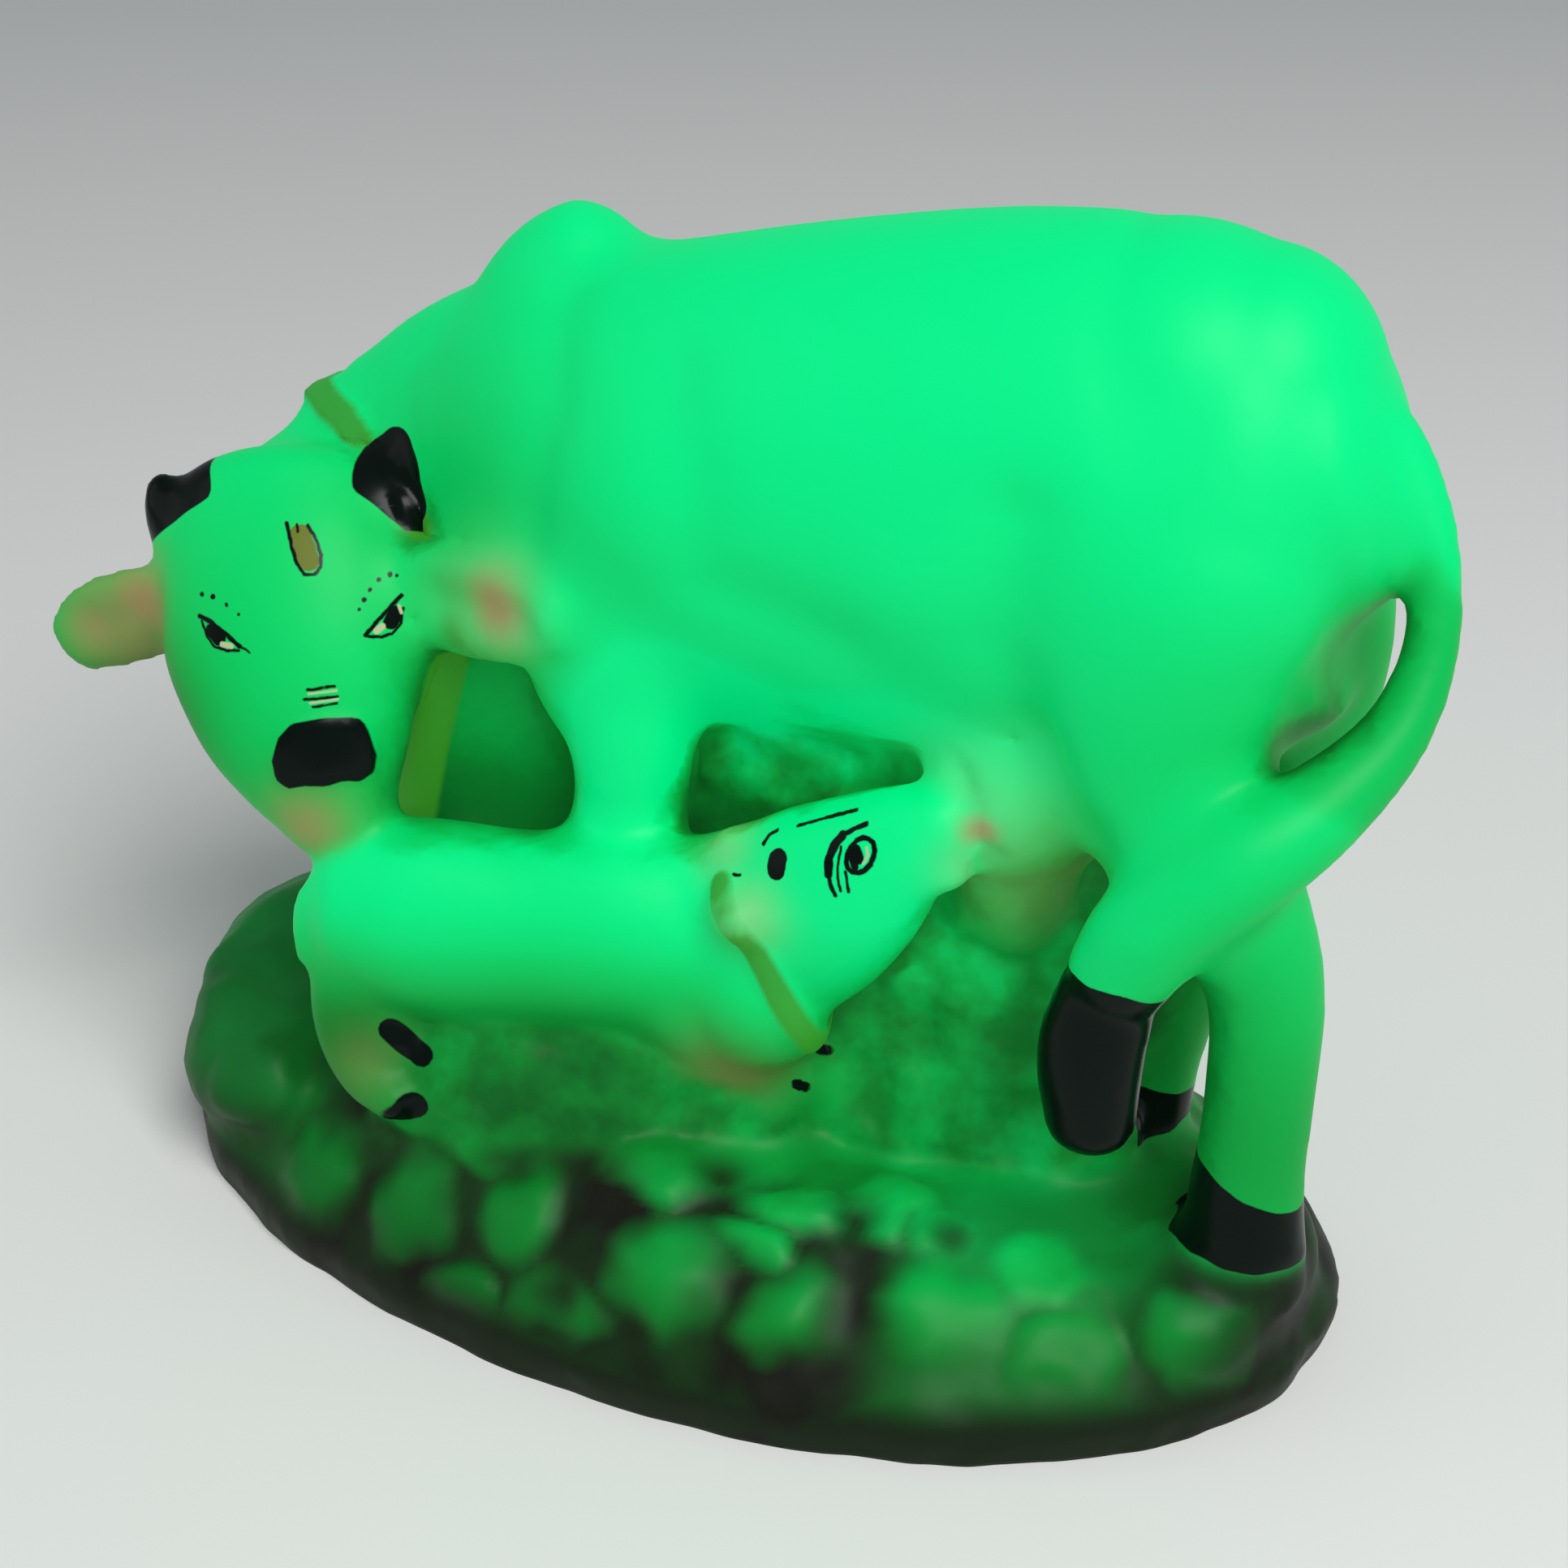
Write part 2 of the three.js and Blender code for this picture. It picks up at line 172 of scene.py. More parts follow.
def cow_body(clay):
    trunk = [
        (-20, 0, 61, 8, 13.3),
        (-11, 0, 63.5, 12, 16.6),
        (0, 0, 64.8, 13.8, 18),
        (12, 0, 66.3, 14.6, 19.2),
        (24, 0, 67.8, 14.4, 19.8),
        (34, 0, 68.8, 13.4, 19.4),
        (41, 0, 72, 11.6, 16.4),
        (45.5, 0, 73.2, 8.8, 10.4),
    ]
    hump = [(-16.4, 1, 70, 6, 8), (-13.2, 1, 75.5, 5.6, 7.4), (-10.2, 1, 77.5, 5.4, 7.4)]
    neck = [
        (-10, 0, 63.4, 10, 17.6),
        (-19, 1.4, 61.2, 8.2, 15.4),
        (-26.5, 2, 58.4, 6.8, 13.2),
        (-32.5, 1, 56.2, 6, 11),
        (-36.5, -1.6, 56, 5.8, 8.6),
    ]
    dewlap = [
        (-21.5, 0, 52, 7, 9),
        (-20.5, 0, 42, 6.2, 9.5),
        (-19, 0.5, 30, 5.4, 9.5),
        (-18, 0.5, GROUND, 5.6, 10.5),
    ]
    lumps = [  # middle and half-sizes
        ((38.6, 0, 76.6), (9.2, 9.6, 10.6)),  # rump
        ((33.4, 0, 76.8), (12.6, 11, 11.3)),  # loin
        ((-6, -6.6, 57.5), (8.5, 7, 15)),  # shoulders
        ((-6, 6.6, 57.5), (8.5, 7, 15)),
        ((-25.6, -0.6, 40), (3.6, 6, 9)),  # folds of the dewlap
        ((-27.4, -3.8, 37.6), (3.4, 4, 8)),
        ((-15.8, 4.4, 45.6), (5.6, 4.2, 9)),
        ((25.5, -3.4, 47.5), (7.6, 8, 8.5)),  # udder and teats
        ((25, -3.4, 39.4), (4.2, 3.6, 7.4)),
    ]
    limb(clay, trunk, dome=0.45, around=64, rings=80)
    limb(clay, hump)
    limb(clay, neck, dome=0.5)
    limb(clay, dewlap)
    for at, half in lumps:
        lump(clay, at, half)


def leg(clay, stations, side, step):
    """A leg of the near side, or of the far one, which steps forward little by little towards the hoof."""
    top = stations[0][2]
    placed = []
    for x, y, z, wide, deep in stations:
        forward = step * (top - z) / (top - GROUND)
        placed.append((x - forward, side * y, z, wide, deep))
    limb(clay, placed)


def cow_legs(clay):
    fore = [
        (-7, 7.4, 60, 5.6, 7),
        (-4.8, 7.8, 47, 4.8, 4.9),
        (-5.8, 7.2, 36, 4.1, 4.1),
        (-6, 7, 26, 3.6, 3.6),
        (-6.5, 7, 18, 3.8, 3.8),
        (-7.5, 7, GROUND - 2, 4.4, 4.6),
    ]
    hind = [
        (34.6, 4.6, 75, 6, 9),
        (35, 6.4, 67, 7.4, 11.6),
        (35, 7.4, 59.6, 7.4, 10.4),
        (36.6, 8, 51.6, 6.2, 8),
        (41.8, 8, 43.5, 5, 5.6),
        (45, 7.4, 36, 4, 4.3),
        (45.3, 7, 26, 3.7, 4),
        (45.1, 7, 18, 3.9, 4.3),
        (45.4, 7, GROUND - 3, 4.8, 5.2),
    ]
    far_buttock = (41.4, 6.6, 57.6)
    lump(clay, far_buttock, (7.3, 6.6, 14))
    leg(clay, fore, -1, 0)
    leg(clay, fore, 1, FORE_STEP)
    leg(clay, hind, -1, 0)
    leg(clay, hind, 1, HIND_STEP)


TAIL = [
    (41, 0, 78, 4, 3),
    (46.9, -0.5, 75.6, 3, 2.7),
    (50.6, -1.3, 71.4, 2, 2.1),
    (52.3, -2.2, 66.4, 1.9, 1.9),
    (52.7, -3.5, 61.4, 2, 2),
    (51.3, -6.4, 56.4, 2.4, 2.5),
    (47.4, -10.4, 51.9, 3.3, 3.4),
    (43.2, -13, 48.6, 4, 4.2),
    (38.6, -14, 43.6, 4, 4.2),
    (36, -13.8, 38.6, 3.4, 3.8),
]
TUFT = [
    (35.2, -13.4, 36.6, 3, 3.6),
    (34.2, -13.2, 31, 3.2, 4),
    (34.4, -12.8, 25, 3, 3.4),
]


def cow_tail(clay):
    limb(clay, TAIL)
    limb(clay, TUFT)


# The head hangs to the near side and looks at the viewer. In face space X is the viewer's right, -Y points
# out of the face and -Z down towards the muzzle.
FACE = (
    Matrix.Translation((-33.8, -8.7, 61.4))
    @ Matrix.Rotation(math.radians(18), 4, "Z")
    @ Matrix.Rotation(math.radians(-24), 4, "X")
    @ Matrix.Rotation(math.radians(-8), 4, "Y")
)


def on_face(x, y, z):
    """A place of face space in the part's frame."""
    return tuple(FACE @ Vector((x, y, z)))


HORN = [  # in face space, and mirrored for the other one
    (7.4, 0.4, -3, 3, 2.9),
    (8.3, -0.1, -1.2, 3, 2.7),
    (9.2, -0.5, 0.6, 2.1, 2),
    (9.5, -0.8, 1.6, 1.3, 1.3),
]
NEAR_EAR = [
    (-39.2, -13, 52.8, 3.6, 2.1),
    (-43.2, -14.6, 52.2, 4, 1.9),
    (-46.8, -15.8, 50.9, 4, 1.7),
    (-49.8, -16.3, 49, 2.9, 1.3),
]
FAR_EAR = [
    (-23.4, -8.4, 55, 4.2, 2.2),
    (-18, -10.6, 55.8, 4.4, 2),
    (-12.6, -12.6, 56.8, 4.2, 1.8),
    (-7.8, -14, 57.6, 2.8, 1.5),
]
COW_COLLAR = [
    (-36.2, 1, 65.2), (-31, -3.6, 61.9), (-25.8, -5, 56.6), (-22.8, -6, 48.6),
    (-23.6, -6.6, 41), (-25.2, -5.6, 34.6), (-29.4, 0.4, 31), (-25.2, 6, 34.6),
    (-23.6, 6.8, 41), (-22.8, 7.2, 48.6), (-25.8, 8.2, 56.6), (-31, 6.4, 61.9),
]


def cow_head(clay):
    across = tuple(FACE.to_3x3() @ Vector((1, 0, 0)))
    skull = [
        (-0.2, 0.6, 0.6, 8.4, 5.2),
        (-0.3, -0.4, -5, 10, 6.2),
        (-0.3, -0.6, -10.8, 10.4, 6.6),
        (0, -0.2, -16.6, 9.1, 6.2),
        (0.8, 0, -21.4, 6.9, 5.4),
        (1.6, 0.2, -25.2, 4.5, 4.4),
    ]
    limb(clay, [(*on_face(*s[:3]), *s[3:]) for s in skull], side=across, dome=0.6)
    poll = [
        (*on_face(0.2, 0.6, -2.6), 8, 5.2),
        (-35.6, -3.2, 58.4, 7, 5.2),
        (-34.2, 0.4, 59.2, 6.4, 5.8),
    ]
    limb(clay, poll, side=across, dome=0.5)
    for side in (-1, 1):
        limb(clay, [(*on_face(side * s[0], *s[1:3]), *s[3:]) for s in HORN], side=across)
    limb(clay, NEAR_EAR, side=(0.2, 0, 1), dome=1)
    limb(clay, FAR_EAR, side=(-0.2, 0, 1), dome=1)
    hoop(clay, COW_COLLAR, 1.9, 1.5)


def calf(clay):
    trunk = [
        (-24.2, -17.6, 31.4, 5.2, 7),
        (-19.7, -16.3, 31.2, 6.2, 8.2),
        (-11, -13.9, 30.9, 6.2, 8),
        (-3.2, -11.6, 31.2, 6.4, 8.4),
        (3.6, -9.6, 31.4, 5.6, 7.6),
    ]
    neck_and_head = [
        (2.6, -9.7, 31.8, 5.2, 7.6),
        (8.3, -9.9, 34.1, 5.2, 8),
        (13.5, -10.2, 38.6, 5, 7),
        (18, -10.3, 43, 4, 4.8),
        (21.4, -10.1, 45.7, 2.9, 3),
    ]
    jaw = [(17, -10.7, 40.2, 2.6, 2.2), (22.6, -10.7, 42.4, 2.1, 1.6)]
    tail = [(-24.6, -19.4, 35.2, 1.5, 1.5), (-27.4, -19.6, 32.4, 1.3, 1.3), (-27.6, -20.4, 28, 1.2, 1.2)]
    near_hind = [
        (-24, -18.4, 28.2, 3.6, 4),
        (-24.8, -19.9, 22.4, 2.6, 2.8),
        (-22.8, -21.2, 18.6, 2.1, 2.1),
        (-19.4, -21.8, LEDGE + 0.6, 1.8, 1.9),
    ]
    far_hind = [(-23.8, -17.8, 25.2, 3, 3), (-20.6, -20, 21, 1.9, 1.7)]
    near_fore = [(-0.2, -13.6, 28.6, 3.2, 3.6), (3, -12.4, 23.6, 2.7, 3), (8.6, -9.4, LEDGE + 1.4, 1.6, 1.7)]
    far_fore = [(4.6, -9.2, 28.1, 3.4, 3.4), (7.4, -8.8, 22.2, 2.9, 3), (11.6, -6.5, LEDGE, 1.8, 1.8)]
    lumps = [  # middle, half-sizes and turn
        ((5.2, -11, 39.8), (2.1, 2.1, 2.1), 0),  # ears
        ((7.6, -14.9, 37), (2.7, 1.9, 2.2), 0),
        ((7.4, -11.6, 27.6), (5.6, 4.6, 5.8), 35),  # chest
    ]
    limb(clay, trunk, dome=0.7)
    for stations in (neck_and_head, jaw, tail, near_hind, far_hind, near_fore, far_fore):
        limb(clay, stations)
    for at, half, turn in lumps:
        lump(clay, at, half, (0, turn, 0))


def rough_mass(clay):
    """The rough resin left between the belly and the ground, and under the calf, to hold them up."""
    below_cow = [
        (12, 1, 47, 5.6, 20),
        (12, 1, 34, 6, 19.5),
        (12, 0.5, 22, 7, 21),
        (11, 0, 9, 9.5, 26),
    ]
    below_calf = (-6.4, -11.4, LEDGE - 1)
    limb(clay, below_cow, dome=0.3)
    lump(clay, below_calf, (20, 7.4, 11), (0, 0, 21))


def top_of(x, y):
    """The height of the base's top over points of the plan."""

    def bump(cx, cy, rx, ry):
        return np.exp(-(((x - cx) / rx) ** 2) - ((y - cy) / ry) ** 2)

    return GROUND + (LEDGE - GROUND) * bump(-10, -14, 24, 10) + (ROCK - GROUND) * bump(-40, 4, 12, 14)


# The base's profile: the share of its half-width, then of its height
BANK = [(1, 0.2), (0.965, 0.4), (0.9, 0.6), (0.82, 0.79), (0.72, 0.93), (0.58, 1), (0.3, 1)]
BELOW = -2  # the base is modelled to here and then cut off flat at 0


def base(clay, length, width):
    """An oval with an upright rim and a sloping bank, spun from its profile, and its boulders."""
    boulders = [  # middle, half-sizes and turn
        ((-38.2, -10, 9.5), (10, 9.5, 7.4), -25),
        ((-42.2, 0, 12), (8.8, 11.4, 7.6), 10),
        ((42, -3.4, 7.8), (8.2, 12, 6.4), 0),
    ]
    for at, half, turn in boulders:
        lump(clay, at, half, (0, 0, turn))
    shape = bmesh.new()
    profile = [(0, BELOW), (0.98, BELOW), (0.995, 0.05), *BANK, (0, 1)]
    verts = [shape.verts.new((reach, 0, height)) for reach, height in profile]
    for pair in zip(verts, verts[1:]):
        shape.edges.new(pair)
    bmesh.ops.subdivide_edges(shape, edges=shape.edges[:], cuts=3)
    spun(shape, 120)
    broader = 0.05  # at the tail end than in the middle
    for vert in shape.verts:
        x = vert.co.x * length / 2
        y = vert.co.y * width * (1 + broader * vert.co.x) / 2
        z = vert.co.z * (top_of(x, y) if vert.co.z > 0 else 1)
        # The rim draws in a little towards the ground at the tail end
        tuck = 1 - 0.018 * soft_step(x, 24, 44) * (1 - soft_step(z, 0, 6))
        vert.co = (x * tuck, y * tuck, z)
    bmesh.ops.recalc_face_normals(shape, faces=shape.faces[:])
    pour(shape, clay)


# The skin of the casting, as arrays that the sculpting works on


def values_of(items, name, columns, kind=float):
    """One value of all the vertices, edges or faces of a mesh, a row for each."""
    values = np.empty(len(items) * columns, kind)
    items.foreach_get(name, values)
    return values.reshape(-1, columns)


class Skin:
    """The places, faces and neighbours of a closed mesh of four-sided faces, in millimetres."""

    def __init__(self, mesh):
        self.co = values_of(mesh.vertices, "co", 3)
        self.count = len(self.co)
        self.ends = values_of(mesh.edges, "vertices", 2, np.int64)
        self.ties = np.bincount(self.ends.ravel(), minlength=self.count)[:, None]
        corners = values_of(mesh.loops, "vertex_index", 1, np.int64).ravel()
        starts = values_of(mesh.polygons, "loop_start", 1, np.int64)
        self.faces = corners[starts + np.arange(4)]

    def gather(self, owners, values):
        """The sum of each owner's values."""
        return np.stack([np.bincount(owners, column, self.count) for column in values.T], axis=1)

    def around(self, values):
        """The average of the values of each place's neighbours."""
        a, b = self.ends.T
        return (self.gather(a, values[b]) + self.gather(b, values[a])) / self.ties

    def blur(self, values):
        """Each place's values averaged with its neighbours'."""
        return 0.5 * values + 0.5 * self.around(values)

    def normals(self):
        a, b, c, d = (self.co[self.faces[:, i]] for i in range(4))
        across = np.cross(c - a, d - b)
        total = sum(self.gather(self.faces[:, i], across) for i in range(4))
        return unit(total + 1e-12)

    def smooth(self, passes, where=1.0):
        for _ in range(passes):
            self.co += (self.around(self.co) - self.co) * 0.5 * where

    def fill_creases(self, passes, where):
        """Lets the hollows between forms rise and leaves what stands proud, as poured resin does."""
        for i in range(passes):
            if i % 4 == 0:
                normal = self.normals()
            rise = np.sum((self.around(self.co) - self.co) * normal, axis=1)[:, None]
            self.co += normal * np.maximum(rise, 0) * 0.6 * where


def near_line(co, points, sizes=None):
    """The distance of every place from a line through the points, or from a limb with these half-sizes."""
    best = np.full(len(co), np.inf)
    points = np.asarray(points, float)
    sizes = np.zeros(len(points)) if sizes is None else sizes
    for a, b, start, end in zip(points, points[1:], sizes, sizes[1:]):
        run = b - a
        share = np.clip((co - a) @ run / (run @ run), 0, 1)
        size = start + share * (end - start)
        best = np.minimum(best, np.linalg.norm(co - a - share[:, None] * run, axis=1) - size)
    return best


def inside_outline(places, outline):
    """How deep inside a closed outline every place of a plane lies; less than 0 is outside."""
    corners = np.asarray(outline, float)
    closed = np.vstack([corners, corners[:1]])
    inside = np.zeros(len(places), bool)
    for a, b in zip(closed, closed[1:]):
        spans = (a[1] > places[:, 1]) != (b[1] > places[:, 1])
        cross = a[0] + (places[:, 1] - a[1]) / (b[1] - a[1] + 1e-9) * (b[0] - a[0])
        inside ^= spans & (places[:, 0] < cross)
    return np.where(inside, 1, -1) * near_line(places, closed)


def fade(distance, reach):
    """1 on the spot, falling smoothly to almost nothing at twice the reach."""
    return np.exp(-((distance / reach) ** 2))


def round_spot(co, middle, reach):
    """1 in the middle of a round spot and almost nothing at twice its reach."""
    return fade(np.linalg.norm(co - middle, axis=1), reach)


def soft_step(values, low, high):
    """0 at `low` and before it, 1 at `high` and beyond, and a smooth curve between them."""
    share = np.clip((values - low) / (high - low), 0, 1)
    return share * share * (3 - 2 * share)


def lumpiness(co, scale, octaves=3):
    """Smooth noise around 0, its lumps about `scale` millimetres across."""
    return np.array([noise.fractal(Vector(p / scale), 1.0, 2.0, octaves) for p in co])


def skin_of(clay, grain):
    """One closed skin round all the clay forms, as a mesh."""
    mesh = bpy.data.meshes.new("clay")
    clay.to_mesh(mesh)
    lump_of_clay = bpy.data.objects.new("clay", mesh)
    bpy.context.scene.collection.objects.link(lump_of_clay)
    wrap = lump_of_clay.modifiers.new("wrap", "REMESH")
    wrap.mode = "VOXEL"
    wrap.voxel_size = grain
    depsgraph = bpy.context.evaluated_depsgraph_get()
    skin = bpy.data.meshes.new_from_object(lump_of_clay.evaluated_get(depsgraph))
    bpy.data.objects.remove(lump_of_clay)
    bpy.data.meshes.remove(mesh)
    return skin


def flat_underside(mesh):
    """Cuts the casting off flat at the ground and closes it with one face."""
    shape = bmesh.new()
    shape.from_mesh(mesh)
    whole = [*shape.verts, *shape.edges, *shape.faces]
    cut = bmesh.ops.bisect_plane(shape, geom=whole, plane_co=(0, 0, 0), plane_no=(0, 0, 1), clear_inner=True)
    rim = [e for e in cut["geom_cut"] if isinstance(e, bmesh.types.BMEdge)]
    bmesh.ops.contextual_create(shape, geom=rim)
    bmesh.ops.recalc_face_normals(shape, faces=shape.faces)
    shape.to_mesh(mesh)
    shape.free()


# Sculpting, all in millimetres. Stones and crevices are given on the calf's side, and the far side repeats
# them turned round and drawn in a little.

FAR_SHARE = 0.94  # how far out the repeated stones lie, compared with the given ones

FOLDS = [  # depth, half-width and the line that each fold follows on the near side
    (0.6, 2.4, [(-10.4, -6.1, 79.2), (-8.7, -11.1, 72.9), (-10.2, -12.5, 62.5)]),
    (0.5, 3, [(0.7, -11.1, 76.4), (3.4, -13.8, 69.7), (4.2, -14, 63.2), (14.1, -14.2, 60)]),
    (0.8, 3, [(27, -14, 70.8), (26.2, -13.6, 61.9), (28.6, -12, 54)]),
    (0.8, 2.4, [(28.6, -12, 54), (32, -12, 49), (35.4, -12, 46.6)]),
]
MUZZLE_EDGE = [
    (16.9, -10.6, 48.9), (18, -10.6, 49.2), (20.8, -10.4, 50.6), (22.6, -10.4, 49.8),
    (23.6, -10.6, 48.4), (24, -10.8, 45.6), (25.2, -10.8, 43.8), (24.6, -10.8, 42.6),
]
SWELLS = [  # height, reach and middle
    (1, 7, (-3, -12.5, 66)),
    (0.8, 7, (38, -12, 68)),
    (0.5, 5, (19, -14.5, 64)),
]
TAIL_LOOP = [(50, -1, 68), (49.6, -3, 61), (47.6, -7, 55)]  # along the gap inside the tail
SHARP = [  # reach and middle of the creases that stay as they are: muzzles and the calf's ears
    (8, (20, -9, 48)),
    (6, (-22.4, -16.8, 39.6)),
    (4, (5.2, -11, 39.8)),
    (4, (7.8, -15, 37)),
]
GROOVES = [  # depth, half-width and line of the ears' hollows and of the edge round the calf's muzzle
    (0.9, 2.4, [(-40.6, -15.5, 53.2), (-47, -17.2, 51.2)]),
    (0.9, 2.2, [(-18.4, -12.6, 56.6), (-11, -14.6, 57.6)]),
    (0.7, 0.9, MUZZLE_EDGE),
]
STONES = [  # x, y, z, the half-sizes along the rim and up the bank, and a turn in degrees
    (-18.1, -25.2, 9.8, 4.2, 5, -12),
    (-7.6, -23.2, 10.6, 3.7, 4.6, 10),
    (-13, -21.4, 14.4, 3.6, 2.6, 0),
    (-2.6, -25.6, 5.4, 4.6, 2.6, 5),
    (5.6, -23.4, 8.4, 5.6, 4.6, 0),
    (1.8, -18.3, 13.8, 4.8, 3.2, 14),
    (13, -17.6, 13.2, 5, 2.4, 12),
    (11, -20.8, 11.2, 3.4, 1.8, 16),
    (15.4, -22.1, 7.4, 5, 4.4, -6),
    (19.4, -13.8, 13.6, 3.8, 3.6, 20),
    (26.2, -19, 8.6, 5.2, 4.4, 0),
    (24, -14.4, 12.8, 2.6, 2.2, 0),
    (32, -14, 11.4, 4.2, 3, 8),
    (35, -17.6, 7, 4.8, 3.6, 0),
    (-28, -22.6, 8.4, 4.8, 4.6, 10),
    (-24.6, -23.4, 14, 3.4, 2, 0),
    (-10.6, -26.8, 4.6, 3.6, 2.4, 0),
    (43.4, -12.6, 7.4, 4.2, 4, 0),
    (-35.4, -17.4, 11.6, 5, 4, 0),
    (-44, -9.4, 14.6, 5.4, 4, 0),
]
CREVICES = [  # the deep dark places between the stones
    (6.7, -17.1, 14.3), (17.6, -16.7, 13.7), (25.1, -15, 13.4), (20.1, -19.1, 11.7),
    (21.1, -22.2, 8.9), (20.4, -25.1, 6.3), (10.9, -23.6, 10.4), (3.7, -27.7, 6),
    (9.3, -27, 6.7), (-10.9, -20.8, 14.4), (-1.9, -20.6, 14.1), (-3, -27.4, 7.7),
]
CREVICE_REACH = 2.3
ROUNDNESS = 2.6  # 2 for an oval and more towards an oblong, as water-worn stones are
BAND_FOOT = 5.5  # the stones end here, and a smooth band runs down to the rim
COLLAR_RISE, NOSE_RISE = 0.55, 0.35  # how proud the collars and the nose pad stand
STONE_RISE, STONE_CUT = 1.3, 0.5  # from the crevices to the tops, and how deep the crevices lie


def both_sides(x, y, z):
    """A place on the calf's side of the base, and the one on the far side that repeats it."""
    return (x, y, z), (-FAR_SHARE * x, -y, z)


def crevices_on(co):
    """1 in the middle of a deep crevice and 0 well away from it."""
    best = np.zeros(len(co))
    for crevice in CREVICES:
        for at in both_sides(*crevice):
            best = np.maximum(best, round_spot(co, at, CREVICE_REACH))
    return best


def stones_on(co, normal):
    """How proud the stones stand at every place, from 0 in the crevices to 1 on their tops."""
    best = np.zeros(len(co))
    # Shifting the places a little this way and that makes the stones' outlines uneven
    co = co + 1.5 * np.stack([lumpiness(co + shift, 5, 2) for shift in (0, 60, 120)], axis=1)
    level = unit(np.cross((0, 0, 1), normal) + 1e-9)
    uphill = np.cross(normal, level)
    for x, y, z, along, up, turn in STONES:
        c, s = math.cos(math.radians(turn)), math.sin(math.radians(turn))
        for side, at in zip((-1, 1), both_sides(x, y, z)):
            away = co - at
            sideways = np.sum(away * level, axis=1) * side
            rise = np.sum(away * uphill, axis=1)
            slant = (c * sideways + s * rise) / along
            rise = (c * rise - s * sideways) / up
            reach = (abs(slant) ** ROUNDNESS + abs(rise) ** ROUNDNESS) ** (1 / ROUNDNESS)
            reach = np.hypot(reach, np.sum(away * normal, axis=1) / 5)
            best = np.maximum(best, 1 - soft_step(reach, 0.4, 1.2))
    return best * (1 - 0.95 * crevices_on(co))


def closest_form(co, forms):
    """Which of the forms every place lies on, as one column of 0 and 1 for each."""
    gaps = []
    for form in forms:
        tree = BVHTree.FromBMesh(form)
        gaps.append([tree.find_nearest(p)[3] for p in co])
    return np.eye(len(forms))[np.argmin(gaps, axis=0)]


def open_sky(co, normal, tree):
    """The share of the light from all round that reaches each place, cast from every 14th place."""
    rays, far = 40, 60
    golden_angle = 2.39996
    turn = np.arange(rays) * golden_angle
    height = np.sqrt(1 - (np.arange(rays) + 0.5) / rays)
    level = np.sqrt(1 - height**2)
    fan = np.stack([np.cos(turn) * level, np.sin(turn) * level, height], axis=1)
    picked = np.arange(0, len(co), 14)
    places = KDTree(len(picked))
    seen = []
    for slot, i in enumerate(picked):
        start = Vector(co[i] + normal[i] * 0.4)
        spread = Vector(normal[i]).to_track_quat("Z", "Y").to_matrix()
        hits = [tree.ray_cast(start, spread @ Vector(ray), far)[3] for ray in fan]
        seen.append(np.mean([1 if gap is None else gap / far for gap in hits]))
        places.insert(co[i], slot)
    places.balance()
    result = np.empty(len(co))
    for i, place in enumerate(co):
        found = places.find_n(place, 5)
        weights = [1 / (gap + 0.3) for _, _, gap in found]
        result[i] = sum(w * seen[slot] for w, (_, slot, _) in zip(weights, found)) / sum(weights)
    return result


def thickness(co, normal, tree, deepest=14):
    """How far the resin reaches in under each place."""
    gaps = []
    for place, out in zip(co, normal):
        gap = tree.ray_cast(Vector(place - out * 0.3), Vector(-out), deepest)[3]
        gaps.append(deepest if gap is None else gap)
    return np.array(gaps)


def sculpt(skin, fillet, cow, rough, ground):
    """Fills the creases between the forms, carves what the forms leave out and returns where stones lie."""
    skin.smooth(3)
    # The cow's creases fill with resin, and the others stay deep
    where = (0.14 + 0.86 * cow) * (1 - fade(near_line(skin.co, TAIL_LOOP), 5.5))
    for reach, middle in SHARP:
        where *= 1 - round_spot(skin.co, middle, reach)
    skin.fill_creases(fillet, where[:, None])
    skin.smooth(2)
    normal = skin.normals()
    co = skin.co
    lift = np.zeros(skin.count)
    mirrored = co * (1, -1, 1)
    for depth, reach, line in FOLDS:
        lift -= depth * cow * (fade(near_line(co, line), reach) + fade(near_line(mirrored, line), reach))
    for height, reach, middle in SWELLS:
        for places in (co, mirrored):
            lift += height * cow * round_spot(places, middle, reach)
    for depth, reach, line in GROOVES:
        lift -= depth * fade(near_line(co, line), reach)
    lift += COLLAR_RISE * soft_step(collar_band(co), -0.25, 0.25)
    lift += NOSE_RISE * soft_step(nose_pad(co), -0.3, 0.3)
    bank = ground * soft_step(co[:, 2], BAND_FOOT - 2.5, BAND_FOOT + 0.5)
    stone = stones_on(co, normal)
    # The stones are worn flatter towards the tail end
    worn = 1 - 0.6 * soft_step(co[:, 0], 20, 28)
    lift += bank * worn * (STONE_RISE * stone - STONE_CUT)
    lift += ground * 0.5 * lumpiness(co, 9)
    lift += rough * (0.9 * lumpiness(co, 5) + 0.3 * lumpiness(co, 1.8))
    skin.co = co + normal * lift[:, None]
    skin.smooth(2, where=(1 - 0.8 * cow)[:, None])
    return stone


# Where the paint lies. The distances are in millimetres, more than 0 inside the painted patch.

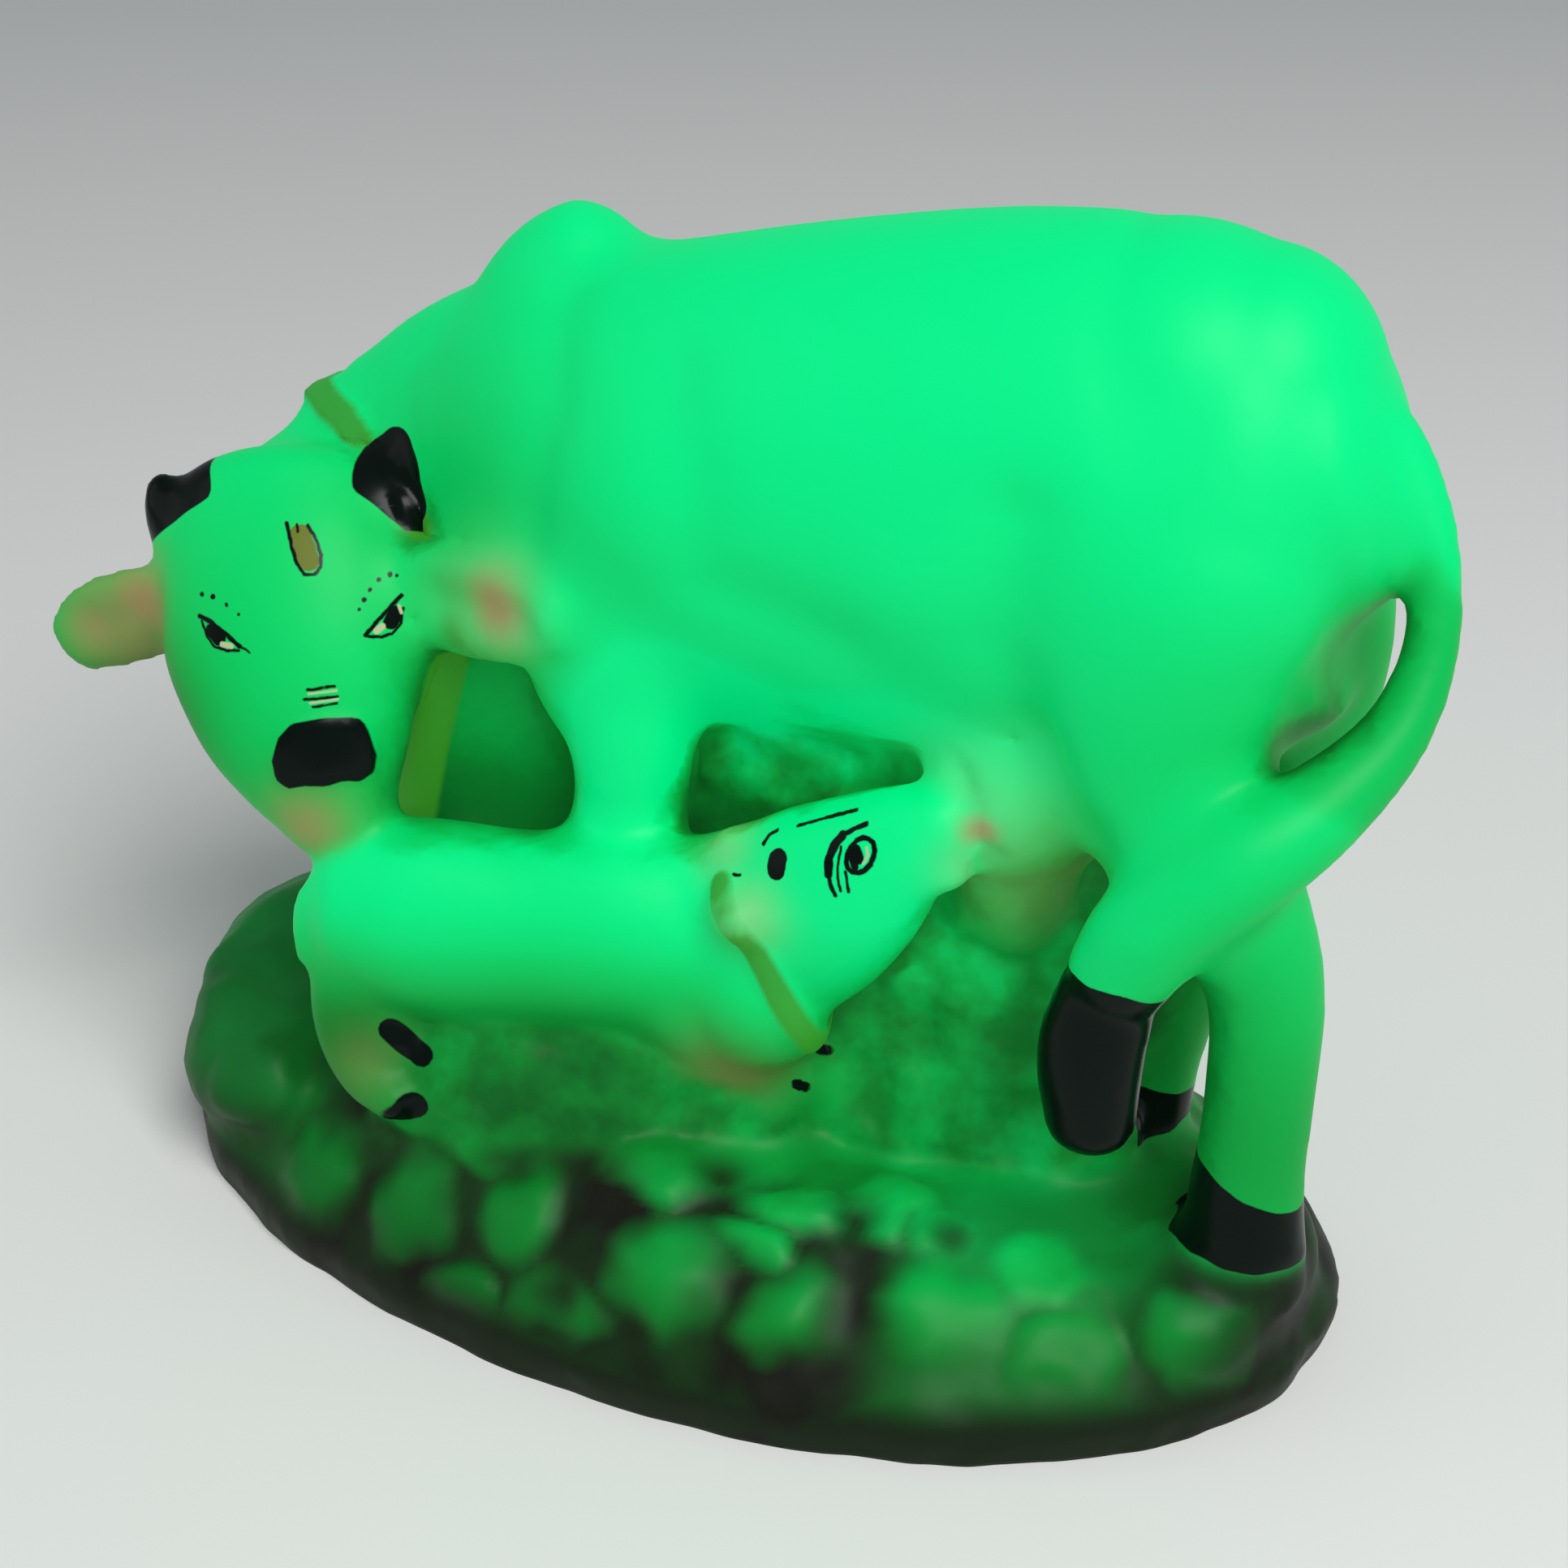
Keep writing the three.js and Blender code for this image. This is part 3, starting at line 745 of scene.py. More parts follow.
NOSE_PAD = [  # in face space, across and up
    (0.4, -17.6), (2.8, -17.4), (5.2, -17.6), (5.7, -18.3), (6, -20.7), (5.6, -21.9),
    (4.6, -22.5), (3.5, -22.3), (2.2, -22.6), (0.6, -22.4), (-0.8, -22.5), (-1.6, -21.7),
    (-1.6, -20.2), (-0.8, -18.6),
]
COW_BAND = [  # where the collar lies on the neck, from the nape down the near side and up the far side
    (-36.8, 0.8, 66.9), (-33.6, -2, 66.4), (-31.4, -3.1, 65.9), (-28.9, -4.7, 64.7),
    (-25.6, -6.6, 62.6), (-22, -7.9, 59.6), (-20.8, -8, 55), (-21, -8, 49.4),
    (-22, -8.3, 45.4), (-23.2, -8.5, 40.9), (-24.4, -8.3, 36.5), (-26.4, -6, 33),
    (-30, -2.6, 31), (-29.8, 2, 30.4), (-27, 5.6, 33.4), (-24.6, 7.6, 36),
    (-22.8, 8.4, 40.6), (-22.6, 8.6, 44.6), (-22.6, 9, 48.3), (-24, 9.8, 52.4),
    (-26, 10.2, 56.6), (-29.2, 9.6, 59.6), (-31.8, 8.2, 62.5), (-34.6, 5, 65.6),
    (-36.8, 0.8, 66.9),
]
CALF_COLLAR = [
    (5.4, -14.4, 39), (6.9, -16, 37.8), (8.2, -16.3, 36), (9.1, -15.6, 34),
    (10.4, -15.2, 31.4), (11.7, -14.6, 28.6), (12.6, -13, 25.8), (12.6, -10, 25),
    (11.4, -5.4, 29), (7.6, -3.6, 33.6), (4.4, -6, 38.4), (3.2, -8.4, 38.6),
]
CALF_HOOVES = [  # half-width, then the ends of each patch
    (1, (-20.4, -20.4, 22.9), (-17.9, -20.2, 20.9)),
    (1.3, (-19.6, -22, 16.9), (-17.9, -22, 17.1)),
    (0.5, (9.8, -10.2, 19.9), (10.6, -9.9, 19.3)),
    (0.6, (11, -8, 22.1), (11.6, -7.6, 21.7)),
]
HORN_EDGES = [  # side, then across, up and offset of the line above which it is black, and reach
    (1, 0.707, 0.707, 4.1, 1.2),
    (-1, -0.44, 0.9, 2.1, 3),
]
HOOF_HALF, HOOF_FOOT = 6.6, 13.6  # half-width of a painted hoof, and where its paint ends at the ground
HOOVES = [  # x, y and the top of the black paint of the cow's hooves
    (45.4, -7, 21.4),
    (45.4 - HIND_STEP, 7, 20),
    (-7.5, -7, 19),
    (-7.5 - FORE_STEP, 7, 19),
]
COW, CALF, ANY = (1, 0, 0, 0), (0, 1, 0, 0), (1, 1, 1, 1)  # the forms that a spot of colour lies on
PAINTED_SHADE_AND_LIGHT = [  # painted shade: how much darker a part's glow is painted, or painted light if under 0, its reach and middle, and its form
    (0.16, 16, (-33, -14, 54), COW),
    (0.55, 9, (-41, -17, 45), COW),
    (0.3, 6, (-25.6, -19.6, 42), COW),
    (0.14, 14, (-15, -9, 66), COW),
    (0.14, 12, (46, -11, 42), COW),
    (0.18, 10, (47, -9, 27), COW),
    (0.05, 9, (53.5, -4, 62), COW),
    (0.1, 12, (42, -13, 57), COW),
    (0.08, 6, (24, -10, 48), COW),
    (0.2, 7, (26, -8, 38), COW),
    (0.25, 9, (25, -5, 26), ANY),
    (0.35, 7, (-24, -21, 22), CALF),
    (0.3, 6, (7, -13, 23), CALF),
    (0.4, 11, (-6, -17.5, 20), ANY),
    (0.36, 9, (46, 4, 57), COW),
    (0.4, 13, (34, 7, 32), COW),
    (0.24, 15, (-20, -25, 8), ANY),
    (-1.1, 7, (0.8, -6.6, 48), ANY),
    (-1.1, 7, (17.8, -6, 47), ANY),
    (-0.3, 11, (27, -9.5, 13), ANY),
    (-0.25, 8, (21.5, -4.5, 33), ANY),
]
BLUSH = [  # strength, reach and middle of the soft pink spots, and their form
    (0.75, 3.4, (-42.8, -16.1, 53.8), COW),
    (0.6, 3, (-47, -17, 51), COW),
    (0.5, 5, (-45, -15.8, 52), COW),
    (0.85, 3.3, (-12.8, -14.1, 57.7), COW),
    (0.3, 4.6, (-14.5, -13.8, 57), COW),
    (0.6, 3, (-26.2, -20.6, 39.8), COW),
    (0.9, 1.5, (24.6, -11.4, 46), ANY),
    (0.25, 6, (25, -9.6, 46), COW),
    (0.22, 6, (26, -8, 41), COW),
    (0.3, 2.6, (24, -11, 43.4), CALF),
    (0.4, 2.6, (8.4, -15.6, 37.6), CALF),
    (0.3, 2.4, (5.2, -12, 40.6), CALF),
    (0.2, 3, (-22, -21.4, 20), CALF),
    (0.3, 4, (6, -13.4, 22.4), CALF),
]


def on_head(co):
    """Places in face space: across the face, out of it and up."""
    flat = np.array(FACE.inverted())
    return co @ flat[:3, :3].T + flat[:3, 3]


def beyond_limb(co, stations):
    """How far every place lies outside a limb."""
    stations = np.asarray(stations, float)
    return near_line(co, stations[:, :3], stations[:, 3:].mean(axis=1))


def collar_band(co):
    """How far inside the gold collars every place lies. The cow's is broader below its nape."""
    half = 1.3 + 0.6 * soft_step(60 - co[:, 2], 0, 8)
    return np.maximum(half - near_line(co, COW_BAND), 1.05 - near_line(co, CALF_COLLAR))


def nose_pad(co):
    """How far inside the black nose pad every place lies."""
    face = on_head(co)
    return np.where(face[:, 1] < -1.4, inside_outline(face[:, [0, 2]], NOSE_PAD), -9)


def black_paint(co):
    """How far inside the black of the nose, horns, tuft and hooves every place lies."""
    face = on_head(co)
    ragged = 0.5 * lumpiness(co, 2.2, 1)
    patches = [nose_pad(co)]
    for side, across, up, offset, reach in HORN_EDGES:
        horn = np.array(HORN) * (side, 1, 1, 1, 1)
        base_line = across * face[:, 0] + up * face[:, 2] - offset + 0.3 * ragged
        patches.append(np.minimum(base_line, reach - beyond_limb(face, horn)))
    tuft = 1.8 - beyond_limb(co, TUFT)
    patches.append(np.minimum(tuft, 39 - co[:, 2] + ragged))
    for x, y, top in HOOVES:
        reach = HOOF_HALF - np.hypot(co[:, 0] - x, co[:, 1] - y)
        # The paint's top edge slopes down towards the tail
        line = top - 0.44 * (co[:, 0] - x + 3.4) - co[:, 2] + ragged
        patches.append(np.minimum(np.minimum(reach, line), co[:, 2] - HOOF_FOOT + ragged))
    for wide, *ends in CALF_HOOVES:
        patches.append(wide - near_line(co, ends))
    return np.max(patches, axis=0)


def spots(co, regions, marks):
    """The share of each mark at every place of the form that it lies on."""
    for strength, reach, middle, form in marks:
        yield strength * round_spot(co, middle, reach) * (regions @ np.array(form))


def dark_wash(co, out, stone, ground, rough):
    """The dark paint rubbed into the base, thickest in the crevices and on the band above the rim. The rim
    is where `out` is 0.5."""
    patchy = 0.5 + 0.5 * lumpiness(co, 8)
    slope = ground * soft_step(out, 0.25, 0.33)
    left = soft_step(-co[:, 0], 26, 36)
    # Less of it stays between the stones before the hind legs and on the left end
    calm = soft_step(abs(co[:, 0] - 31), 11, 6) + left
    crevice = slope * (1 - stone) ** 1.3 * (0.8 + 0.3 * patchy) * (1 - 0.5 * calm)
    crevice = np.maximum(crevice, ground * 0.9 * crevices_on(co))
    band = ground * soft_step(BAND_FOOT + 2.5 - co[:, 2], 0, 5) * 0.96
    left_end = ground * left * (0.56 + 0.24 * patchy)
    right_end = ground * soft_step(co[:, 0], 41, 48) * 0.85
    hoof = ground * 0.8 * round_spot(co, (48, -8, 12), 6)
    film = ground * 0.05 + rough * 0.2 * patchy
    return np.clip(np.max([crevice, band, left_end, right_end, hoof, film], axis=0), 0, 1)


def glow_with_painted_shade(skin, regions):
    """How brightly each place glows, with shade painted in: less where the sky is shut out, on faces turned
    down, low down and in the listed spots, more where the resin is thick.
    """
    co, normal = skin.co, skin.normals()
    tree = BVHTree.FromPolygons(co.tolist(), skin.faces.tolist())
    deep = thickness(co, normal, tree)[:, None]
    for _ in range(12):
        deep = skin.blur(deep)
    sky = soft_step(open_sky(co, normal, tree), 0.1, 0.95)
    # Painted shade: darker where little light from all round reaches, on faces turned down and lower down
    lit = (0.32 + 0.68 * sky) * (0.84 + 0.16 * soft_step(normal[:, 2], -1, 0.5))
    lit *= 0.8 + 0.2 * soft_step(deep[:, 0], 3, 12)
    lit *= 0.72 + 0.28 * soft_step(co[:, 2], 16, 36)
    lit *= 1 - regions[:, 3] * (0.44 - 0.36 * soft_step(co[:, 2], 7, 14.5))
    # Painted shade from the listed spots, and painted light where a spot's strength is under 0
    for share in spots(co, regions, PAINTED_SHADE_AND_LIGHT):
        lit *= 1 - share
    return lit


def in_mm(length):
    """A length of the settings in millimetres, without the noise in its last digits."""
    return round(length / MM, 4)


def cast_shape(settings):
    """The casting's mesh in metres, with what the paint needs to know kept as attributes."""
    length, width = in_mm(settings.length), in_mm(settings.width)
    oval = partial(base, length=length, width=width)
    groups = ((cow_body, cow_legs, cow_tail, cow_head), (calf,), (rough_mass,), (oval,))
    forms = []
    clay = bmesh.new()
    for makers in groups:
        form = bmesh.new()
        for make in makers:
            make(form)
            make(clay)
        forms.append(form)
    mesh = skin_of(clay, in_mm(settings.grain))
    skin = Skin(mesh)
    regions = closest_form(skin.co, forms)
    for form in (clay, *forms):
        form.free()
    # What lies just above the ground belongs to the base
    standing = soft_step(GROUND + 1.2 - skin.co[:, 2], 0, 1.2)[:, None]
    regions = regions * (1 - standing) + standing * (0, 0, 0, 1)
    for _ in range(6):
        regions = skin.blur(regions)
    cow, _, rough, ground = regions.T
    stone = sculpt(skin, settings.fillet, cow, rough, ground)
    mesh.vertices.foreach_set("co", skin.co.ravel())
    mesh.update()
    out = np.hypot(skin.co[:, 0] / length, skin.co[:, 1] / width)
    marks = {
        # The glow, with painted shade in it
        "glow": glow_with_painted_shade(skin, regions),
        "black": black_paint(skin.co),
        "gold": collar_band(skin.co),
        "blush": np.max(list(spots(skin.co, regions, BLUSH)), axis=0),
        "wash": dark_wash(skin.co, out, stone, ground, rough),
        "rough": rough,
    }
    for name, values in marks.items():
        mesh.attributes.new(name, "FLOAT", "POINT").data.foreach_set("value", values.astype(np.float32))
    flat_underside(mesh)
    mesh.transform(Matrix.Scale(MM, 4))
    return mesh


def link(name, data):
    """Makes an object and puts it in the scene."""
    made = bpy.data.objects.new(name, data)
    bpy.context.scene.collection.objects.link(made)
    return made


class FigurineSettings(bpy.types.PropertyGroup):
    length: bpy.props.FloatProperty(
        name="Length", description="Length of the base", default=104 * MM, min=80 * MM, unit="LENGTH"
    )
    width: bpy.props.FloatProperty(
        name="Width", description="Width of the base", default=59 * MM, min=45 * MM, unit="LENGTH"
    )
    grain: bpy.props.FloatProperty(
        name="Grain",
        description="Size of the skin's faces",
        default=0.64 * MM,
        min=0.3 * MM,
        max=2 * MM,
        precision=5,
        unit="LENGTH",
    )
    fillet: bpy.props.IntProperty(
        name="Crease filling", description="Passes that fill the creases between forms", default=80, min=0
    )
    wash: bpy.props.FloatVectorProperty(
        name="Wash", description="Dark paint rubbed into the base", default=linear("#15180F"), subtype="COLOR"
    )
    blush: bpy.props.FloatVectorProperty(
        name="Blush", description="Soft pink of ears and udder", default=linear("#B08060"), subtype="COLOR"
    )
    gold: bpy.props.FloatVectorProperty(
        name="Gold", description="Paint of both rope collars", default=linear("#3C9A26"), subtype="COLOR"
    )
    black: bpy.props.FloatVectorProperty(
        name="Black", description="Horns, hooves, tuft and eyes", default=linear("#040F0A"), subtype="COLOR"
    )
    glow: bpy.props.FloatProperty(
        name="Glow", description="Strength of the glow", default=0.45, min=0, max=1, subtype="FACTOR"
    )


class FIGURINE_OT_casting(bpy.types.Operator):
    """Models the cow, the calf and their base as one casting"""

    bl_idname = "figurine.casting"
    bl_label = "Cast the cow and calf"

    def execute(self, context):
        mesh = cast_shape(context.scene.figurine_settings)
        casting = link(CASTING, mesh)
        mesh.polygons.foreach_set("use_smooth", [True] * len(mesh.polygons))
        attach(casting, "root")
        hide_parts(NODE)
        return {"FINISHED"}


# Paint strokes: half-width, then the points. On the cow's face they are across and up in face space, and
# on the calf's head along and up in the part's frame.

COW_LINES = [
    (0.19, (-5.8, -8.9), (-4.9, -9.4), (-4.2, -10), (-3.5, -10.7), (-2.7, -11.5)),
    (0.1, (-2.7, -11.5), (-2, -12)),
    (0.12, (-5.6, -9.3), (-5.3, -10.5), (-4.8, -11.3), (-3.8, -11.7), (-2.8, -11.8)),
    (0.62, (-4.8, -10.1), (-4.3, -10.7)),
    (0.17, (9.3, -8.8), (8.6, -9.4), (7.9, -10.1), (7.3, -10.7), (6.5, -11.6)),
    (0.13, (6.5, -11.6), (7.5, -11.8), (8.3, -11.6), (8.9, -10.9), (9.3, -9.8)),
    (0.6, (8.3, -10.7), (8.7, -10.1)),
    (0.15, (1.6, -2.7), (1.9, -4.5), (2.2, -5.8), (2.7, -6.6), (3.4, -6.7), (3.9, -6.2)),
    (0.14, (3.9, -6.2), (4, -5.3), (3.6, -3.9), (3.1, -3)),
    (0.1, (2.3, -2.8), (2.4, -3.4)),
    (0.13, (2, -15.2), (3.9, -15.1)),
    (0.12, (1.6, -15.9), (4, -15.9)),
    (0.11, (2.2, -16.5), (3.9, -16.4)),
]
COW_DOTS = [
    (0.2, (-5.4, -7.3)), (0.22, (-4.5, -7.6)), (0.17, (-3.4, -8.3)), (0.13, (-2.5, -9.1)),
    (0.14, (6.3, -9.6)), (0.2, (6.7, -8.9)), (0.17, (7.1, -8.2)), (0.2, (7.8, -7.5)),
    (0.2, (8.6, -7.2)), (0.12, (9.1, -7.3)),
]
COW_LIGHTS = [
    (0.22, (-4.1, -11.2), (-3.4, -11.4)),
    (0.26, (7.3, -11.3), (7.7, -11)),
    (0.13, (9, -9.6), (9.1, -10.1)),
    (0.09, (2, -15.5), (4, -15.45)),
    (0.09, (2, -16.2), (4, -16.1)),
]
FOREHEAD_MARK = [(0.8, (2.5, -3.6), (3.1, -5.6))]
CALF_EYE = (16.6, 43.75, 0.95, 1.35, -28)  # its middle, half-sizes along and up, and turn in degrees
CALF_RIM = 0.21  # half-width of the line round it
CALF_LINES = [
    (0.14, (15.6, 42.4), (16, 41)),
    (0.2, (16.6, 45.8), (15.7, 45.3), (14.9, 44.7)),
    (0.36, (14.9, 44.7), (14.4, 43.9), (14.2, 43), (14.3, 42)),
    (0.18, (14.3, 42), (14.6, 41.2), (15, 40.5)),
    (0.12, (15, 44), (14.95, 42.8), (15.1, 41.8), (15.4, 40.9)),
    (0.6, (16.1, 43.9), (16.3, 43.6)),
    (0.3, (16, 43.4), (16.3, 42.9)),
    (0.85, (10, 41.2), (10, 41.8)),
    (0.15, (10.9, 44), (13.1, 45.1)),
    (0.2, (13.1, 45.1), (15.4, 46.2)),
    (0.2, (8.4, 42.2), (8.7, 42.8), (9.2, 43.2)),
    (0.15, (6.5, 39.7), (7, 39.8)),
]
CALF_LIGHTS = [(0.1, (17, 44.4), (17.15, 43.9), (16.9, 43.3))]

# The faces in these boxes take the strokes: the cow's in face space, the calf's in the part's frame
COW_PATCH = ((-12, -math.inf, -18), (12, 2, -1))
CALF_PATCH = ((5, -17, 36), (20, -8, math.inf))

BODY = 0.4  # the share of its colour that the resin returns from the lamps
GREENS_OF_GLOW_AND_SHADE = [  # how the resin's green deepens as its glow fades, and where shade is painted into the glow
    (0.0, "#081E0A"),
    (0.25, "#0C5A1E"),
    (0.45, "#0C8A30"),
    (0.65, "#08B64C"),
    (0.82, "#04D668"),
    (0.97, "#00F68E"),
]
MARK = linear("#6E7A2C")  # the olive of the forehead mark
LIGHT = linear("#B9C79A")  # the pale lights in the eyes


# Nodes. A MapRange's sockets are 0 the value, 1 and 2 the range it lies in, 3 and 4 the range it is given.


def add(tree, kind, links=None, out=0, **settings):
    """Adds a shader node, sets what is given by name, links or fills its sockets, returns an output."""
    made = tree.nodes.new("ShaderNode" + kind)
    for name, value in settings.items():
        setattr(made, name, value)
    for socket, value in (links or {}).items():
        if isinstance(value, bpy.types.NodeSocket):
            tree.links.new(value, made.inputs[socket])
        else:
            made.inputs[socket].default_value = value
    return made.outputs[out]


def distance_to(tree, place, a, b=None):
    """The distance from a place to a point, or to the line between two points."""
    if b is None:
        return add(tree, "VectorMath", {0: place, 1: a}, "Value", operation="DISTANCE")
    run = b - a
    off = add(tree, "VectorMath", {0: place, 1: a}, operation="SUBTRACT")
    dot = {0: off, 1: run / run.length_squared}
    share = add(tree, "VectorMath", dot, "Value", operation="DOT_PRODUCT")
    share = add(tree, "Clamp", {0: share})
    nearest = add(tree, "VectorMath", {0: run, "Scale": share}, operation="SCALE")
    return add(tree, "VectorMath", {0: off, 1: nearest}, "Value", operation="DISTANCE")


def strokes(tree, place, marks):
    """1 where any of the strokes lies and 0 elsewhere."""
    best = None
    for half, *points in marks:
        pairs = list(zip(points, points[1:])) or [(points[0], None)]
        for a, b in pairs:
            gap = distance_to(tree, place, a, b)
            gap = add(tree, "Math", {0: gap, 1: half}, operation="SUBTRACT")
            if best is not None:
                gap = add(tree, "Math", {0: best, 1: gap}, operation="MINIMUM")
            best = gap
    return add(tree, "MapRange", {0: best, 1: 0.05, 2: -0.05})


def painted(name, paint, lines=(), lights=(), mark=()):
    """Cast polyester resin with glow pigment, and its paint: blush and wash, then gold, black and strokes.

    The resin looks milky. It hardly shines, and the light that it gives off by itself softens its folds."""
    material = bpy.data.materials.new(name)
    material.use_nodes = True
    tree = material.node_tree
    shader = tree.nodes["Principled BSDF"]
    place = add(tree, "TexCoord", out="Object")
    place = add(tree, "VectorMath", {0: place, "Scale": 1 / MM}, operation="SCALE")

    def known(mark_name):
        return add(tree, "Attribute", out="Fac", attribute_name=mark_name)

    def mixed(share, under, over):
        return add(tree, "Mix", {0: share, 6: under, 7: (*over, 1)}, 2, data_type="RGBA")

    def edge(distance, soft):
        return add(tree, "MapRange", {0: distance, 1: -soft, 2: soft})

    # The rough mass is cloudy, in clouds about 5 mm across
    cloud = add(tree, "TexNoise", {"Vector": place, "Scale": 0.22, "Detail": 4})
    cloud = add(tree, "MapRange", {0: cloud, 1: 0.35, 2: 0.65, 3: 1, 4: 0.66})
    dim = add(tree, "Mix", {0: known("rough"), 2: 1.0, 3: cloud})
    # The glow mark carries painted shade, which the ramp turns into deeper greens
    glow = add(tree, "Math", {0: known("glow"), 1: dim}, operation="MULTIPLY")
    ramp = add(tree, "ValToRGB", {0: glow})
    stops = ramp.node.color_ramp.elements
    for at, _ in GREENS_OF_GLOW_AND_SHADE[1:-1]:
        stops.new(at)
    for stop, (_, code) in zip(stops, GREENS_OF_GLOW_AND_SHADE):
        stop.color = (*linear(code), 1)
    colour = mixed(known("blush"), ramp, paint.blush)
    colour = mixed(known("wash"), colour, paint.wash)
    # The gold is rubbed on thinly, and a little of the glow comes through
    gold = add(tree, "Math", {0: edge(known("gold"), 0.25), 1: 0.85}, operation="MULTIPLY")
    colour = mixed(gold, colour, paint.gold)
    black = edge(known("black"), 0.06)
    if lines:
        # The hand that drew the strokes wavers every 0.6 mm or so
        fleck = add(tree, "TexNoise", {"Vector": place, "Scale": 1.6, "Detail": 1}, "Color")
        waver = add(tree, "VectorMath", {0: fleck, 1: (0.5,) * 3}, operation="SUBTRACT")
        waver = {0: waver, 1: (0.22,) * 3, 2: place}
        drawn_at = add(tree, "VectorMath", waver, operation="MULTIPLY_ADD")
        if mark:
            colour = mixed(strokes(tree, drawn_at, mark), colour, MARK)
        drawn = strokes(tree, drawn_at, lines)
        black = add(tree, "Math", {0: black, 1: drawn}, operation="MAXIMUM")
    colour = mixed(black, colour, paint.black)
    if lights:
        colour = mixed(strokes(tree, place, lights), colour, LIGHT)
    body = mixed(1 - BODY, colour, (0, 0, 0))
    tree.links.new(body, shader.inputs["Base Color"])
    tree.links.new(colour, shader.inputs["Emission Color"])
    shader.inputs["Emission Strength"].default_value = paint.glow
    shader.inputs["Specular IOR Level"].default_value = 0.1
    # The black paint is glossier than the resin
    gloss = add(tree, "MapRange", {0: black, 3: 0.45, 4: 0.24})
    tree.links.new(gloss, shader.inputs["Roughness"])
    return material


def ring(across, up, wide, high, turn, count=14):
    """Points round an oval, the first one again at the end."""
    points = []
    for i in range(count + 1):
        angle = 2 * math.pi * i / count
        point = Vector((wide * math.cos(angle), high * math.sin(angle)))
        point.rotate(Matrix.Rotation(math.radians(turn), 2))
        points.append((across + point.x, up + point.y))
    return points


def within(places, box):
    """Which places lie between the low and the high corner of a box."""
    low, high = box
    return np.all((places > low) & (places < high), axis=1)


def landed(tree, marks, start, along):
    """Strokes given in a plane, laid onto the casting along a direction."""
    laid = []
    for half, *points in marks:
        hits = [tree.ray_cast(start(u, v), along)[0] for u, v in points]
        laid.append((half, *hits))
    return laid


class FIGURINE_OT_painting(bpy.types.Operator):
    """Paints the casting: blush, wash, gold collars, black horns and hooves, and both faces"""

    bl_idname = "figurine.painting"
    bl_label = "Paint the cow and calf"

    def execute(self, context):
        paint = context.scene.figurine_settings
        mesh = bpy.data.objects[CASTING].data
        co = values_of(mesh.vertices, "co", 3) / MM
        tree = BVHTree.FromPolygons(co.tolist(), [p.vertices[:] for p in mesh.polygons])
        out = FACE.to_3x3() @ Vector((0, -1, 0))

        def before_cow(u, v):
            return FACE @ Vector((u, -30, v))

        def before_calf(u, v):
            return Vector((u, -60, v))

        cow_marks = (COW_LINES + COW_DOTS, COW_LIGHTS, FOREHEAD_MARK)
        calf_marks = ([(CALF_RIM, *ring(*CALF_EYE)), *CALF_LINES], CALF_LIGHTS)
        cow_strokes = [landed(tree, marks, before_cow, -out) for marks in cow_marks]
        calf_strokes = [landed(tree, marks, before_calf, Vector((0, 1, 0))) for marks in calf_marks]
        mesh.materials.append(painted("painted_resin", paint))
        mesh.materials.append(painted("painted_cow_face", paint, *cow_strokes))
        mesh.materials.append(painted("painted_calf_face", paint, *calf_strokes))
        middle = values_of(mesh.polygons, "center", 3) / MM
        cow_face = within(on_head(middle), COW_PATCH)
        calf_face = within(middle, CALF_PATCH)
        mesh.polygons.foreach_set("material_index", (cow_face + 2 * calf_face).astype(np.int32))
        mesh.update()
        return {"FINISHED"}


# The camera stands where the photograph was taken from
CAMERA_PLACE = (76.2, -161.4, 134.0)
CAMERA_TURN = 24  # degrees round from the front
CAMERA_FALL = 28  # degrees that it looks down
SENSOR = 36  # millimetres, as wide as the whole photograph
FRAME_PIXELS = 1932
FOCAL_PIXELS = 3150  # fitted to the photograph
LENS = FOCAL_PIXELS / FRAME_PIXELS * SENSOR
LAMPS = [  # name, place and size in metres, and power in watts
    ("key", (0.42, -0.38, 0.6), 0.4, 7),
    ("fill", (-0.6, -0.4, 0.4), 0.6, 0.7),
]
LIT_PLACE = (0, 0, 0.05)  # the middle of the figurine, where the lamps point


def add_camera():
    data = bpy.data.cameras.new("camera")
    data.sensor_width = SENSOR
    data.lens = LENS
    data.clip_start = 0.01
    camera = link("camera", data)
    camera.location = Vector(CAMERA_PLACE) * MM
    camera.rotation_euler = (math.radians(90 - CAMERA_FALL), 0, math.radians(CAMERA_TURN))
    bpy.context.scene.camera = camera


def add_lamp(name, place, size, power):
    data = bpy.data.lights.new(name, "AREA")
    data.size = size
    data.energy = power
    lamp = link(name, data)
    lamp.location = place
    lamp.rotation_euler = (Vector(LIT_PLACE) - Vector(place)).to_track_quat("-Z", "Y").to_euler()


